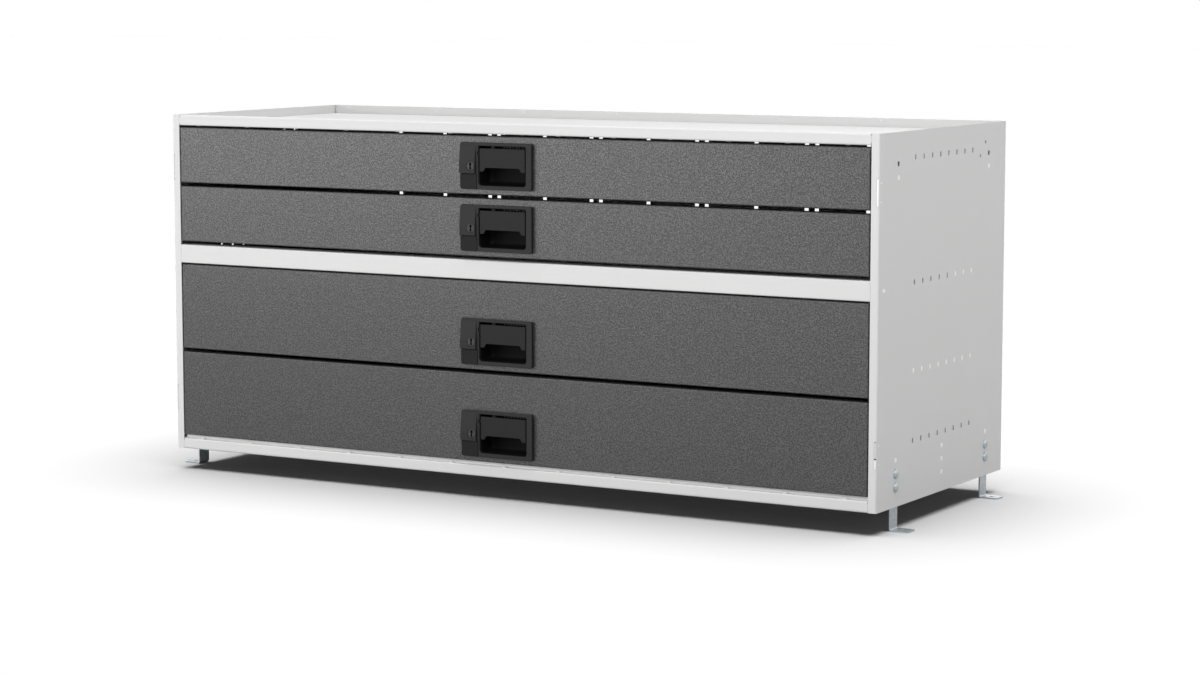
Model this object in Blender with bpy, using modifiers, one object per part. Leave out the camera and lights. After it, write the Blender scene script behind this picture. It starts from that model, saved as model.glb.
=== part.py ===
"""Truck drawer unit: a folded steel cabinet with a tray top, four drawers on
runners, a paddle latch with a lock in each front, and four bolt-down feet.

Metres, +Z up. The front faces -Y, the feet stand on Z = 0 and the origin is the
middle of the footprint. Run it from Blender's text editor or with
blender --background --python part.py.
"""

import math

import bmesh
import bpy
from mathutils import Matrix

MM = 0.001

# Overall sizes of the cabinet body.
BODY_WIDTH = 1200.0 * MM
BODY_DEPTH = 443.7 * MM
FOOT_DROP = 32.5 * MM

# Heights of the front, stacked from the bottom edge up.
BASE_RAIL_HEIGHT = 16.4 * MM
UNDER_DRAWER_GAP = 5.6 * MM
DEEP_FRONT_HEIGHT = 131.0 * MM
BETWEEN_DRAWERS_GAP = 5.2 * MM
OVER_DEEP_GAP = 2.1 * MM
DIVIDER_HEIGHT = 28.4 * MM
LATCH_TOP_BORDER = 9.2 * MM
OVER_SHALLOW_GAP = 3.0 * MM
TOP_RAIL_HEIGHT = 16.1 * MM

# Sheet, bends and fits.
PANEL_SHEET = 1.5 * MM
DRAWER_SHEET = 1.2 * MM
BEND_RADIUS = 2.2 * MM
SEAT_GAP = 0.3 * MM
CUT_OVERRUN = 4.0 * MM

# Side panels: flanges, and the holes as distances from the front and the bottom.
FRONT_FLANGE = 12.3 * MM
REAR_FLANGE = 15.0 * MM
SLOT_ROW_HEIGHT_SHARES = (0.1654, 0.3552, 0.5939, 0.9282)
SLOTS_IN_ROW = 8
SLOT_FIRST_SETBACK_SHARE = 0.26888
SLOT_PITCH_SHARE = 0.064458
SLOT_WIDTH = 4.2 * MM
SLOT_HEIGHT = 7.0 * MM
FOOT_SETBACK = 62.5 * MM
FOOT_REAR_INSET = 64.0 * MM
BOLT_LOW_HEIGHT = 28.0 * MM
BOLT_PITCH = 19.0 * MM
BOLT_ROWS = 3
BOLT_HOLE_SIDE = 6.5 * MM
UPPER_HOLE_DROP = 44.0 * MM
SPARE_HOLE_SETBACK_SHARES = (0.784, 0.827)
SPARE_HOLE_DROP_SHARES = (0.090, 0.053)
HOOK_SLOT_HEIGHT = 38.8 * MM
HOOK_SLOT_WIDTH = 3.2 * MM
HOOK_SLOT_INSET = 1.0 * MM
HOOK_SLOT_FROM_END = 80.3 * MM
PILOT_HOLE_RADIUS = 1.3 * MM
PILOT_HOLE_SETBACK = 6.0 * MM
PILOT_HOLE_SPACING = 26.5 * MM

# Top tray, divider rail and base pan.
TRAY_RECESS = 13.6 * MM
TRAY_LIP = 12.0 * MM
TRAY_HEM = 8.5 * MM
TRAY_REAR_TURN = 15.0 * MM
DIVIDER_FLANGE = 30.0 * MM
BASE_HEM = 15.0 * MM
CORNER_RELIEF_RADIUS = 1.2 * MM
CORNER_RELIEF_INSET = 1.9 * MM

# Back panel and its punched slots, in mirrored groups of three.
BACK_INSET = 7.7 * MM
BACK_GROUPS = 5
BACK_GROUP_PITCH = 190.6 * MM
BACK_GROUP_SPREAD = 86.6 * MM
BACK_SLOT_DROP = 41.5 * MM
BACK_SLOT_RISE = 101.1 * MM
BACK_RIM_HOLES = 8
BACK_RIM_HOLE_RADIUS = 1.3 * MM
BACK_RIM_HOLE_DROP = 3.8 * MM
BACK_RIM_HOLE_INSET = 26.2 * MM
BACK_RIM_HOLE_PITCH = 172.4 * MM

# Feet: a strap inside each side panel, turned outwards at the floor.
FOOT_STRAP_WIDTH = 24.0 * MM
FOOT_STRAP_SHEET = 2.0 * MM
FOOT_STRAP_TOP = 60.0 * MM
FOOT_REACH = 26.0 * MM
FOOT_BEND_RADIUS = 1.6 * MM
FOOT_CORNER_RADIUS = 3.0 * MM
FOOT_HOLE_RADIUS = 3.3 * MM

# Foot bolts: a domed head outside, a nut inside.
BOLT_HEAD_RADIUS = 6.9 * MM
BOLT_HEAD_HEIGHT = 3.6 * MM
BOLT_SHANK_RADIUS = 3.0 * MM
BOLT_TAIL = 2.0 * MM
NUT_ACROSS_CORNERS = 11.5 * MM
NUT_THICKNESS = 5.0 * MM
BOLT_SIDES = 16

# Drawers.
FRONT_SIDE_GAP = 1.6 * MM
FRONT_DEPTH = 16.0 * MM
FRONT_BEND_RADIUS = 1.8 * MM
BOX_SETBACK = 12.3 * MM
BOX_REAR_GAP = 23.7 * MM
SHALLOW_BOX_HEIGHT = 48.0 * MM
DEEP_BOX_HEIGHT = 96.0 * MM
BOX_BEND_RADIUS = 2.5 * MM

# Runners: a channel inside a hat-shaped bracket, and a smaller channel in it.
RUNNER_SHEET = 1.2 * MM
RUNNER_HALF_HEIGHT = 17.5 * MM
RUNNER_DEPTH = 11.2 * MM
RUNNER_LIP = 10.0 * MM
RUNNER_FLANGE_GAP = 0.5 * MM
RUNNER_NESTING_GAP = 1.5 * MM
RUNNER_SETBACK = 36.0 * MM
RUNNER_REAR_OVERHANG = 14.0 * MM
SHALLOW_RUNNER_HEIGHT = 30.0 * MM
DEEP_RUNNER_HEIGHT = 76.0 * MM

# Latch housing, measured from the drawer's centreline and bottom edge.
LATCH_LEFT = 69.2 * MM
LATCH_RIGHT = 52.6 * MM
LATCH_BASE = 7.9 * MM
LATCH_HEIGHT = 68.4 * MM
LATCH_PROUD = 6.0 * MM
LATCH_CORNER_RADIUS = 3.2 * MM
LATCH_EDGE_RADIUS = 0.8 * MM
LOCK_BLOCK_WIDTH = 31.5 * MM
CUP_RIGHT_BORDER = 9.6 * MM
CUP_TOP_BORDER = 4.8 * MM
CUP_BOTTOM_BORDER = 5.7 * MM
CUP_WALL = 2.5 * MM
CUP_DEPTH = 26.0 * MM
CUP_CORNER_RADIUS = 5.0 * MM
BODY_CLEARANCE = 0.5 * MM
BULGE_PROUD = 9.3 * MM
BULGE_BASE = 23.0 * MM
BULGE_FLAT = 13.0 * MM
BULGE_TOP_DROP = 3.4 * MM
BULGE_WIDTH = 27.0 * MM
SEAM_GROOVE = 0.6 * MM

# Lock cylinder and its cam.
LOCK_LEFT = 49.8 * MM
LOCK_HEIGHT = 34.0 * MM
LOCK_RADIUS = 7.0 * MM
LOCK_PROUD = 9.0 * MM
LOCK_BACK = 15.0 * MM
LOCK_BLOCK_BACK = 13.0 * MM
LOCK_SIDES = 24
KEYWAY_WIDTH = 2.2 * MM
KEYWAY_HEIGHT = 8.6 * MM
KEYWAY_DEPTH = 7.0 * MM
CAM_WIDTH = 8.0 * MM
CAM_REACH = 13.0 * MM
CAM_SHEET = 2.0 * MM

# Paddle.
PADDLE_LEFT_GAP = 1.5 * MM
PADDLE_RIGHT_GAP = 2.0 * MM
PADDLE_TOP_GAP = 3.5 * MM
PADDLE_HEIGHT = 34.1 * MM
PADDLE_SET_IN = 1.0 * MM
PADDLE_SHEET = 3.0 * MM
PADDLE_NOTCH_HEIGHT = 5.7 * MM
PADDLE_LEG_WIDTH = 6.2 * MM
PADDLE_NOTCH_SLOPE = 3.6 * MM
PIVOT_DROP = 4.0 * MM
PIVOT_SETBACK = 0.5 * MM
HUB_RADIUS = 3.2 * MM
TRUNNION_RADIUS = 2.0 * MM
TRUNNION_LENGTH = 2.8 * MM
TRUNNION_CLEARANCE = 0.3 * MM
TAIL_CENTRE_LEFT = 16.0 * MM
TAIL_WIDTH = 6.0 * MM
TAIL_SHEET = 2.0 * MM
TAIL_RISE = 9.0 * MM
TAIL_ROOM = 3.0 * MM

# Latch bar behind the drawer front, with a hook at each end.
BAR_RADIUS = 3.0 * MM
BAR_SETBACK = 7.0 * MM
BAR_RISE = 3.7 * MM
BAR_SIDES = 12
CRANK_SHEET = 2.5 * MM
CRANK_DROP = 9.0 * MM
CRANK_SETBACK = 3.0 * MM
HOOK_SHEET = 3.5 * MM
HOOK_WALL_GAP = 3.5 * MM
HOOK_BAR = 5.0 * MM
HOOK_DROP = 18.5 * MM
HOOK_REACH = 20.0 * MM
HOOK_NOSE_WIDTH = 4.0 * MM
HOOK_NOSE_DROP = 3.5 * MM
CRADLE_LEFT = 30.0 * MM
CRADLE_RIGHT = 30.0 * MM
CRADLE_WIDTH = 6.0 * MM
CRADLE_DEPTH = 7.0 * MM
GUIDE_INSET = 46.0 * MM
GUIDE_WIDTH = 8.0 * MM
GUIDE_HEIGHT = 6.0 * MM

# Strike studs on the side panels, just in front of and below the hooks.
STUD_RADIUS = 3.0 * MM
STUD_BOX_GAP = 2.5 * MM
STUD_HOOK_GAP = 0.4 * MM
STUD_SIDES = 12

FLANGE_CLEAR = 0.3 * MM
BEND_STEPS = 3
SMALL_STEPS = 2
HOLE_SIDES = 8

# Sizes worked out from those above.
SHALLOW_FRONT_HEIGHT = LATCH_BASE + LATCH_HEIGHT + LATCH_TOP_BORDER
DEEP_LOW_BASE = BASE_RAIL_HEIGHT + UNDER_DRAWER_GAP
DEEP_HIGH_BASE = DEEP_LOW_BASE + DEEP_FRONT_HEIGHT + BETWEEN_DRAWERS_GAP
DIVIDER_BASE = DEEP_HIGH_BASE + DEEP_FRONT_HEIGHT + OVER_DEEP_GAP
SHALLOW_LOW_BASE = DIVIDER_BASE + DIVIDER_HEIGHT + UNDER_DRAWER_GAP
SHALLOW_HIGH_BASE = SHALLOW_LOW_BASE + SHALLOW_FRONT_HEIGHT + BETWEEN_DRAWERS_GAP
TOP_RAIL_BASE = SHALLOW_HIGH_BASE + SHALLOW_FRONT_HEIGHT + OVER_SHALLOW_GAP
BODY_HEIGHT = TOP_RAIL_BASE + TOP_RAIL_HEIGHT

SLOT_FIRST_SETBACK = SLOT_FIRST_SETBACK_SHARE * BODY_DEPTH
SLOT_PITCH = SLOT_PITCH_SHARE * BODY_DEPTH
FOOT_SPACING = BODY_DEPTH - FOOT_SETBACK - FOOT_REAR_INSET
BACK_SETBACK = BODY_DEPTH - BACK_INSET
BOX_LENGTH = BACK_SETBACK - BOX_REAR_GAP - BOX_SETBACK

HALF_WIDTH = BODY_WIDTH / 2
PANEL_INNER = HALF_WIDTH - PANEL_SHEET
SEATED_HALF = PANEL_INNER - SEAT_GAP
OPENING_HALF = HALF_WIDTH - FRONT_FLANGE
FRONT_HALF = OPENING_HALF - FRONT_SIDE_GAP
RUNNER_WEB = OPENING_HALF - RUNNER_FLANGE_GAP
RUNNER_TIP = RUNNER_WEB - RUNNER_DEPTH
BOX_HALF = RUNNER_TIP - RUNNER_SHEET - 2 * SEAT_GAP - RUNNER_FLANGE_GAP / 2
BOX_FLOOR_HEIGHT = DRAWER_SHEET + SEAT_GAP
RUNNER_LENGTH = BOX_SETBACK + BOX_LENGTH + RUNNER_REAR_OVERHANG - RUNNER_SETBACK
SLIDER_LENGTH = BOX_SETBACK + BOX_LENGTH - RUNNER_SETBACK

CUP_LOW_X = LOCK_BLOCK_WIDTH - LATCH_LEFT
CUP_HIGH_X = LATCH_RIGHT - CUP_RIGHT_BORDER
CUP_LOW_Z = LATCH_BASE + CUP_BOTTOM_BORDER
CUP_HIGH_Z = LATCH_BASE + LATCH_HEIGHT - CUP_TOP_BORDER
WINDOW_LOW_X = -LOCK_LEFT - LOCK_RADIUS - SEAT_GAP - CUP_WALL
WINDOW_HIGH_X = CUP_HIGH_X + CUP_WALL
WINDOW_LOW_Z = CUP_LOW_Z - CUP_WALL
WINDOW_HIGH_Z = CUP_HIGH_Z + CUP_WALL
PADDLE_TOP = CUP_HIGH_Z - PADDLE_TOP_GAP
PIVOT_HEIGHT = PADDLE_TOP - PIVOT_DROP
LOCK_AXIS_HEIGHT = LATCH_BASE + LOCK_HEIGHT
BAR_HEIGHT = LATCH_BASE + LATCH_HEIGHT + BAR_RISE
HOOK_OUTER = FRONT_HALF - DRAWER_SHEET - HOOK_WALL_GAP
STUD_SETBACK = BAR_SETBACK + HOOK_REACH - HOOK_NOSE_WIDTH - SEAT_GAP - STUD_RADIUS
STUD_HEIGHT = BAR_HEIGHT - HOOK_DROP - HOOK_NOSE_DROP - STUD_HOOK_GAP - STUD_RADIUS

# The drawers from the top: number, bottom edge, front, box and runner heights.
DRAWERS = (
    (1, SHALLOW_HIGH_BASE, SHALLOW_FRONT_HEIGHT, SHALLOW_BOX_HEIGHT, SHALLOW_RUNNER_HEIGHT),
    (2, SHALLOW_LOW_BASE, SHALLOW_FRONT_HEIGHT, SHALLOW_BOX_HEIGHT, SHALLOW_RUNNER_HEIGHT),
    (3, DEEP_HIGH_BASE, DEEP_FRONT_HEIGHT, DEEP_BOX_HEIGHT, DEEP_RUNNER_HEIGHT),
    (4, DEEP_LOW_BASE, DEEP_FRONT_HEIGHT, DEEP_BOX_HEIGHT, DEEP_RUNNER_HEIGHT),
)
SIDES = (("left", -1), ("right", 1))

# Where a section drawn in X and Y stands, and the way that it is extruded.
ALONG_X = (math.pi / 2, 0, math.pi / 2)
ALONG_Y = (math.pi / 2, 0, 0)
ALONG_Z = (0, 0, 0)


def clear_scene():
    for old in list(bpy.data.objects):
        bpy.data.objects.remove(old, do_unlink=True)


def make_collection(name):
    found = bpy.data.collections.new(name)
    bpy.context.scene.collection.children.link(found)
    return found


def make_material(name, colour, roughness, metallic):
    material = bpy.data.materials.new(name)
    material.use_nodes = True
    shader = material.node_tree.nodes["Principled BSDF"]
    shader.inputs["Base Color"].default_value = (*colour, 1)
    shader.inputs["Roughness"].default_value = roughness
    shader.inputs["Metallic"].default_value = metallic
    material.diffuse_color = (*colour, 1)
    return material


def white_paint():
    return make_material("white_paint", (0.76, 0.76, 0.76), 0.45, 0)


def hammered_grey():
    return make_material("hammered_grey", (0.15, 0.15, 0.15), 0.55, 0)


def black_plastic():
    return make_material("black_plastic", (0.032, 0.032, 0.032), 0.45, 0)


def zinc():
    return make_material("zinc", (0.55, 0.59, 0.63), 0.35, 1)


def dark_paint():
    return make_material("dark_paint", (0.09, 0.09, 0.09), 0.5, 0)


def make_empty(name, parent, location):
    empty = bpy.data.objects.new(name, None)
    PARTS.objects.link(empty)
    empty.parent = parent
    empty.location = location
    return empty


def make_object(name, mesh_data, parent, location=(0, 0, 0), rotation=(0, 0, 0)):
    """A visible piece of the unit, placed in its parent's frame."""
    piece = bpy.data.objects.new(name, mesh_data)
    PARTS.objects.link(piece)
    piece.parent = parent
    piece.location = location
    piece.rotation_euler = rotation
    return piece


def make_helper(name, mesh_data, parent, location=(0, 0, 0), rotation=(0, 0, 0)):
    """A shape that only cuts a piece or is joined to one."""
    helper = bpy.data.objects.new(name, mesh_data)
    CUTTERS.objects.link(helper)
    helper.parent = parent
    helper.location = location
    helper.rotation_euler = rotation
    helper.hide_render = True
    helper.display_type = "WIRE"
    return helper


def mesh_from(shape, name):
    mesh_data = bpy.data.meshes.new(name)
    shape.to_mesh(mesh_data)
    shape.free()
    return mesh_data


def add_block(shape, low, high):
    """Adds a box between two corners to a bmesh and returns its new vertices."""
    made = bmesh.ops.create_cube(shape, size=1)["verts"]
    size = [top - bottom for bottom, top in zip(low, high)]
    centre = [(top + bottom) / 2 for bottom, top in zip(low, high)]
    bmesh.ops.scale(shape, vec=size, verts=made)
    bmesh.ops.translate(shape, vec=centre, verts=made)
    return made


def add_rod(shape, radius, length, sides, axis, centre):
    """Adds a closed cylinder along X, Y or Z to a bmesh."""
    made = bmesh.ops.create_cone(
        shape,
        cap_ends=True,
        segments=sides,
        radius1=radius,
        radius2=radius,
        depth=length,
    )["verts"]
    turns = {
        "X": ((0, 1, 0), math.pi / 2),
        "Y": ((1, 0, 0), math.pi / 2),
        "Z": ((0, 0, 1), 0),
    }
    about, angle = turns[axis]
    rotation = turn_matrix(about, angle)
    bmesh.ops.rotate(shape, cent=(0, 0, 0), matrix=rotation, verts=made)
    bmesh.ops.translate(shape, vec=centre, verts=made)
    return made


def turn_matrix(about, angle):
    return Matrix.Rotation(angle, 3, about)


def block_mesh(name, low, high):
    shape = bmesh.new()
    add_block(shape, low, high)
    return mesh_from(shape, name)


def blocks_mesh(name, corner_pairs):
    shape = bmesh.new()
    for low, high in corner_pairs:
        add_block(shape, low, high)
    return mesh_from(shape, name)


def folded_mesh(name, path, low, high, inner, flip=False):
    """An open surface: a path in X and Y, drawn out along Z.

    Its faces point away from the inner point, which lies beside the first run.
    """
    shape = bmesh.new()
    ends = []
    for level in (low, high):
        row = [shape.verts.new((x, y, level)) for x, y in path]
        ends.append(row)
    for index in range(len(path) - 1):
        first, second = ends[0][index], ends[0][index + 1]
        third, fourth = ends[1][index + 1], ends[1][index]
        shape.faces.new((first, second, third, fourth))
    shape.faces.ensure_lookup_table()
    shape.normal_update()
    first_face = shape.faces[0]
    towards = (inner[0] - path[0][0]) * first_face.normal.x
    towards += (inner[1] - path[0][1]) * first_face.normal.y
    if (towards > 0) != flip:
        bmesh.ops.reverse_faces(shape, faces=shape.faces[:])
    return mesh_from(shape, name)


def outline_mesh(name, outline, thickness):
    """A flat outline in X and Y, filled and drawn out both ways along Z."""
    curve = bpy.data.curves.new(name, "CURVE")
    curve.dimensions = "2D"
    curve.fill_mode = "BOTH"
    curve.extrude = thickness / 2
    spline = curve.splines.new("POLY")
    spline.points.add(len(outline) - 1)
    for point, (x, y) in zip(spline.points, outline):
        point.co = (x, y, 0, 1)
    spline.use_cyclic_u = True
    holder = bpy.data.objects.new(name, curve)
    CUTTERS.objects.link(holder)
    bpy.context.view_layer.update()
    graph = bpy.context.evaluated_depsgraph_get()
    mesh_data = bpy.data.meshes.new_from_object(holder.evaluated_get(graph))
    bpy.data.objects.remove(holder, do_unlink=True)
    shape = bmesh.new()
    shape.from_mesh(mesh_data)
    bmesh.ops.remove_doubles(shape, verts=shape.verts[:], dist=SEAT_GAP / 100)
    bmesh.ops.recalc_face_normals(shape, faces=shape.faces[:])
    shape.to_mesh(mesh_data)
    shape.free()
    return mesh_data


def round_bends(piece, radius, steps):
    bevel = piece.modifiers.new("bends", "BEVEL")
    bevel.width = radius
    bevel.segments = steps
    bevel.limit_method = "ANGLE"
    bevel.angle_limit = math.radians(30)


def thicken(piece, sheet):
    solid = piece.modifiers.new("sheet", "SOLIDIFY")
    solid.thickness = sheet
    solid.offset = -1
    solid.use_even_offset = True


def cut(piece, helper):
    change = piece.modifiers.new(helper.name, "BOOLEAN")
    change.operation = "DIFFERENCE"
    change.object = helper


def join(piece, helper):
    change = piece.modifiers.new(helper.name, "BOOLEAN")
    change.operation = "UNION"
    change.object = helper


def paint(piece, material):
    piece.data.materials.append(material)


def smooth(piece):
    piece.data.shade_smooth()
    piece.data.set_sharp_from_angle(angle=math.radians(35))


def open_box_mesh(name, low, high, open_side):
    """Five faces of a box; the open side is an axis with its direction."""
    shape = bmesh.new()
    add_block(shape, low, high)
    shape.normal_update()
    gone = [face for face in shape.faces if face.normal.dot(open_side) > 0.5]
    bmesh.ops.delete(shape, geom=gone, context="FACES_ONLY")
    loose = [edge for edge in shape.edges if not edge.link_faces]
    bmesh.ops.delete(shape, geom=loose, context="EDGES")
    return mesh_from(shape, name)


def flange_notches():
    """The corners of a rail that give way to the side panels' front flanges."""
    pairs = []
    for _, side in SIDES:
        inner = side * (OPENING_HALF - FLANGE_CLEAR)
        outer = side * (HALF_WIDTH + CUT_OVERRUN)
        low = (min(inner, outer), -CUT_OVERRUN, -CUT_OVERRUN)
        high = (max(inner, outer), PANEL_SHEET + SEAT_GAP, BODY_HEIGHT + CUT_OVERRUN)
        pairs.append((low, high))
    return pairs


def add_relief(shape, height):
    """Round bend reliefs at both ends of a rail."""
    for _, side in SIDES:
        place = (side * (OPENING_HALF - FLANGE_CLEAR), 0, height)
        add_rod(shape, CORNER_RELIEF_RADIUS, 2 * CUT_OVERRUN, HOLE_SIDES, "Y", place)


def side_panel_holes(side):
    """Everything punched in the wall of a side panel, as one cutter."""
    shape = bmesh.new()
    wall = (PANEL_INNER - CUT_OVERRUN / 2, HALF_WIDTH + CUT_OVERRUN)

    def punch(setback, height, width, tall):
        low = (wall[0], setback - width / 2, height - tall / 2)
        high = (wall[1], setback + width / 2, height + tall / 2)
        add_block(shape, low, high)

    for share in SLOT_ROW_HEIGHT_SHARES:
        for index in range(SLOTS_IN_ROW):
            setback = SLOT_FIRST_SETBACK + index * SLOT_PITCH
            punch(setback, share * BODY_HEIGHT, SLOT_WIDTH, SLOT_HEIGHT)
    columns = (FOOT_SETBACK, FOOT_SETBACK + FOOT_SPACING / 2, FOOT_SETBACK + FOOT_SPACING)
    for setback in columns:
        for row in range(BOLT_ROWS):
            punch(setback, BOLT_LOW_HEIGHT + row * BOLT_PITCH, BOLT_HOLE_SIDE, BOLT_HOLE_SIDE)
    for setback in (columns[0], columns[-1]):
        for row in range(2):
            height = BODY_HEIGHT - UPPER_HOLE_DROP - row * BOLT_PITCH
            punch(setback, height, BOLT_HOLE_SIDE, BOLT_HOLE_SIDE)
    for setback_share, drop_share in zip(SPARE_HOLE_SETBACK_SHARES, SPARE_HOLE_DROP_SHARES):
        height = BODY_HEIGHT * (1 - drop_share)
        punch(setback_share * BODY_DEPTH, height, SLOT_WIDTH, SLOT_WIDTH)
    for centre in (HOOK_SLOT_FROM_END, BODY_HEIGHT - HOOK_SLOT_FROM_END):
        outer = HALF_WIDTH - HOOK_SLOT_INSET
        low = (outer - HOOK_SLOT_WIDTH, -CUT_OVERRUN, centre - HOOK_SLOT_HEIGHT / 2)
        high = (outer, PANEL_SHEET + SEAT_GAP, centre + HOOK_SLOT_HEIGHT / 2)
        add_block(shape, low, high)
        for way in (-1, 1):
            place = (HALF_WIDTH, PILOT_HOLE_SETBACK, centre + way * PILOT_HOLE_SPACING / 2)
            add_rod(shape, PILOT_HOLE_RADIUS, 2 * CUT_OVERRUN, HOLE_SIDES, "X", place)
    bmesh.ops.scale(shape, vec=(side, 1, 1), verts=shape.verts[:])
    if side < 0:
        bmesh.ops.reverse_faces(shape, faces=shape.faces[:])
    return shape


def strike_studs(side):
    shape = bmesh.new()
    inner = BOX_HALF + STUD_BOX_GAP
    outer = PANEL_INNER + PANEL_SHEET / 2
    for _, base, *_ in DRAWERS:
        place = (side * (inner + outer) / 2, STUD_SETBACK, base + STUD_HEIGHT)
        add_rod(shape, STUD_RADIUS, outer - inner, STUD_SIDES, "X", place)
    return shape


def make_side_panel(name, side, material):
    path = (
        (side * OPENING_HALF, 0),
        (side * HALF_WIDTH, 0),
        (side * HALF_WIDTH, BODY_DEPTH),
        (side * (HALF_WIDTH - REAR_FLANGE), BODY_DEPTH),
    )
    inner = (side * OPENING_HALF, PANEL_SHEET)
    panel = make_object(name, folded_mesh(name, path, 0, BODY_HEIGHT, inner), CARCASS)
    round_bends(panel, BEND_RADIUS, BEND_STEPS)
    thicken(panel, PANEL_SHEET)
    holes = mesh_from(side_panel_holes(side), name + "_holes")
    cut(panel, make_helper(name + "_holes", holes, CARCASS))
    studs = mesh_from(strike_studs(side), name + "_studs")
    join(panel, make_helper(name + "_studs", studs, CARCASS))
    paint(panel, material)


def back_slot_places():
    middle = (BACK_GROUPS - 1) / 2
    for group in range(BACK_GROUPS):
        for way in (-1, 0, 1):
            yield (group - middle) * BACK_GROUP_PITCH + way * BACK_GROUP_SPREAD


def back_rim_hole_places():
    """Holes along the top rim, from both ends towards the middle."""
    outer = HALF_WIDTH - BACK_RIM_HOLE_INSET
    for index in range(BACK_RIM_HOLES // 2):
        for way in (-1, 1):
            yield way * (outer - index * BACK_RIM_HOLE_PITCH)


def make_back_panel(material):
    rear = BODY_DEPTH - PANEL_SHEET - SEAT_GAP
    path = (
        (-SEATED_HALF, rear),
        (-SEATED_HALF, BACK_SETBACK),
        (SEATED_HALF, BACK_SETBACK),
        (SEATED_HALF, rear),
    )
    mesh_data = folded_mesh("back_panel", path, 0, BODY_HEIGHT, (0, rear))
    panel = make_object("back_panel", mesh_data, CARCASS)
    round_bends(panel, BEND_RADIUS, SMALL_STEPS)
    thicken(panel, DRAWER_SHEET)
    shape = bmesh.new()
    low_y = BACK_SETBACK - CUT_OVERRUN
    high_y = BACK_SETBACK + CUT_OVERRUN
    upper_row = BODY_HEIGHT - BACK_SLOT_DROP
    for height in (upper_row - BACK_SLOT_RISE, upper_row):
        for place in back_slot_places():
            low = (place - SLOT_HEIGHT / 2, low_y, height - SLOT_WIDTH / 2)
            high = (place + SLOT_HEIGHT / 2, high_y, height + SLOT_WIDTH / 2)
            add_block(shape, low, high)
    for place in back_rim_hole_places():
        centre = (place, BACK_SETBACK, BODY_HEIGHT - BACK_RIM_HOLE_DROP)
        add_rod(shape, BACK_RIM_HOLE_RADIUS, 2 * CUT_OVERRUN, HOLE_SIDES, "Y", centre)
    holes = mesh_from(shape, "back_panel_holes")
    cut(panel, make_helper("back_panel_holes", holes, CARCASS))
    paint(panel, material)


def make_rail(name, path, inner, reliefs, notches, material):
    """A folded section in Y and Z that runs the whole width of the cabinet."""
    mesh_data = folded_mesh(name, path, -SEATED_HALF, SEATED_HALF, inner)
    rail = make_object(name, mesh_data, CARCASS, rotation=ALONG_X)
    round_bends(rail, BEND_RADIUS, BEND_STEPS)
    thicken(rail, PANEL_SHEET)
    shape = bmesh.new()
    for low, high in notches:
        add_block(shape, low, high)
    cut(rail, make_helper(name + "_notches", mesh_from(shape, name + "_notches"), CARCASS))
    if reliefs:
        shape = bmesh.new()
        for height in reliefs:
            add_relief(shape, height)
        cut(rail, make_helper(name + "_reliefs", mesh_from(shape, name + "_reliefs"), CARCASS))
    paint(rail, material)


def make_top_tray(material):
    floor = BODY_HEIGHT - TRAY_RECESS
    rear = BACK_SETBACK - SEAT_GAP
    path = (
        (TRAY_HEM, TOP_RAIL_BASE),
        (0, TOP_RAIL_BASE),
        (0, BODY_HEIGHT),
        (TRAY_LIP, BODY_HEIGHT),
        (TRAY_LIP, floor),
        (rear, floor),
        (rear, floor - TRAY_REAR_TURN),
    )
    inner = (TRAY_HEM, BODY_HEIGHT)
    reliefs = (BODY_HEIGHT - CORNER_RELIEF_INSET, TOP_RAIL_BASE + CORNER_RELIEF_INSET)
    make_rail("top_tray", path, inner, reliefs, flange_notches(), material)


def make_divider_rail(material):
    path = (
        (DIVIDER_FLANGE, DIVIDER_BASE),
        (0, DIVIDER_BASE),
        (0, DIVIDER_BASE + DIVIDER_HEIGHT),
        (DIVIDER_FLANGE, DIVIDER_BASE + DIVIDER_HEIGHT),
    )
    inner = (DIVIDER_FLANGE, DIVIDER_BASE + DIVIDER_HEIGHT)
    make_rail("divider_rail", path, inner, (), flange_notches(), material)


def strap_notches():
    """Room in the base pan for the four foot straps."""
    pairs = []
    inner = SEATED_HALF - FOOT_STRAP_SHEET - SEAT_GAP
    half = FOOT_STRAP_WIDTH / 2 + SEAT_GAP
    for _, side in SIDES:
        for setback in (FOOT_SETBACK, FOOT_SETBACK + FOOT_SPACING):
            ends = (side * inner, side * (HALF_WIDTH + CUT_OVERRUN))
            low = (min(ends), setback - half, -CUT_OVERRUN)
            high = (max(ends), setback + half, BASE_RAIL_HEIGHT + CUT_OVERRUN)
            pairs.append((low, high))
    return pairs


def make_base_pan(material):
    rear = BACK_SETBACK - SEAT_GAP
    path = (
        (BASE_HEM, BASE_RAIL_HEIGHT),
        (0, BASE_RAIL_HEIGHT),
        (0, 0),
        (rear, 0),
        (rear, BASE_RAIL_HEIGHT),
    )
    notches = flange_notches() + strap_notches()
    reliefs = (BASE_RAIL_HEIGHT - CORNER_RELIEF_INSET,)
    make_rail("base_pan", path, (BASE_HEM, 0), reliefs, notches, material)


def foot_bolt_places():
    """Setback and height of the two bolts of each foot."""
    for end, setback in (("front", FOOT_SETBACK), ("rear", FOOT_SETBACK + FOOT_SPACING)):
        for row, level in enumerate(("lower", "upper")):
            yield end, level, setback, BOLT_LOW_HEIGHT + row * BOLT_PITCH


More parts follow.
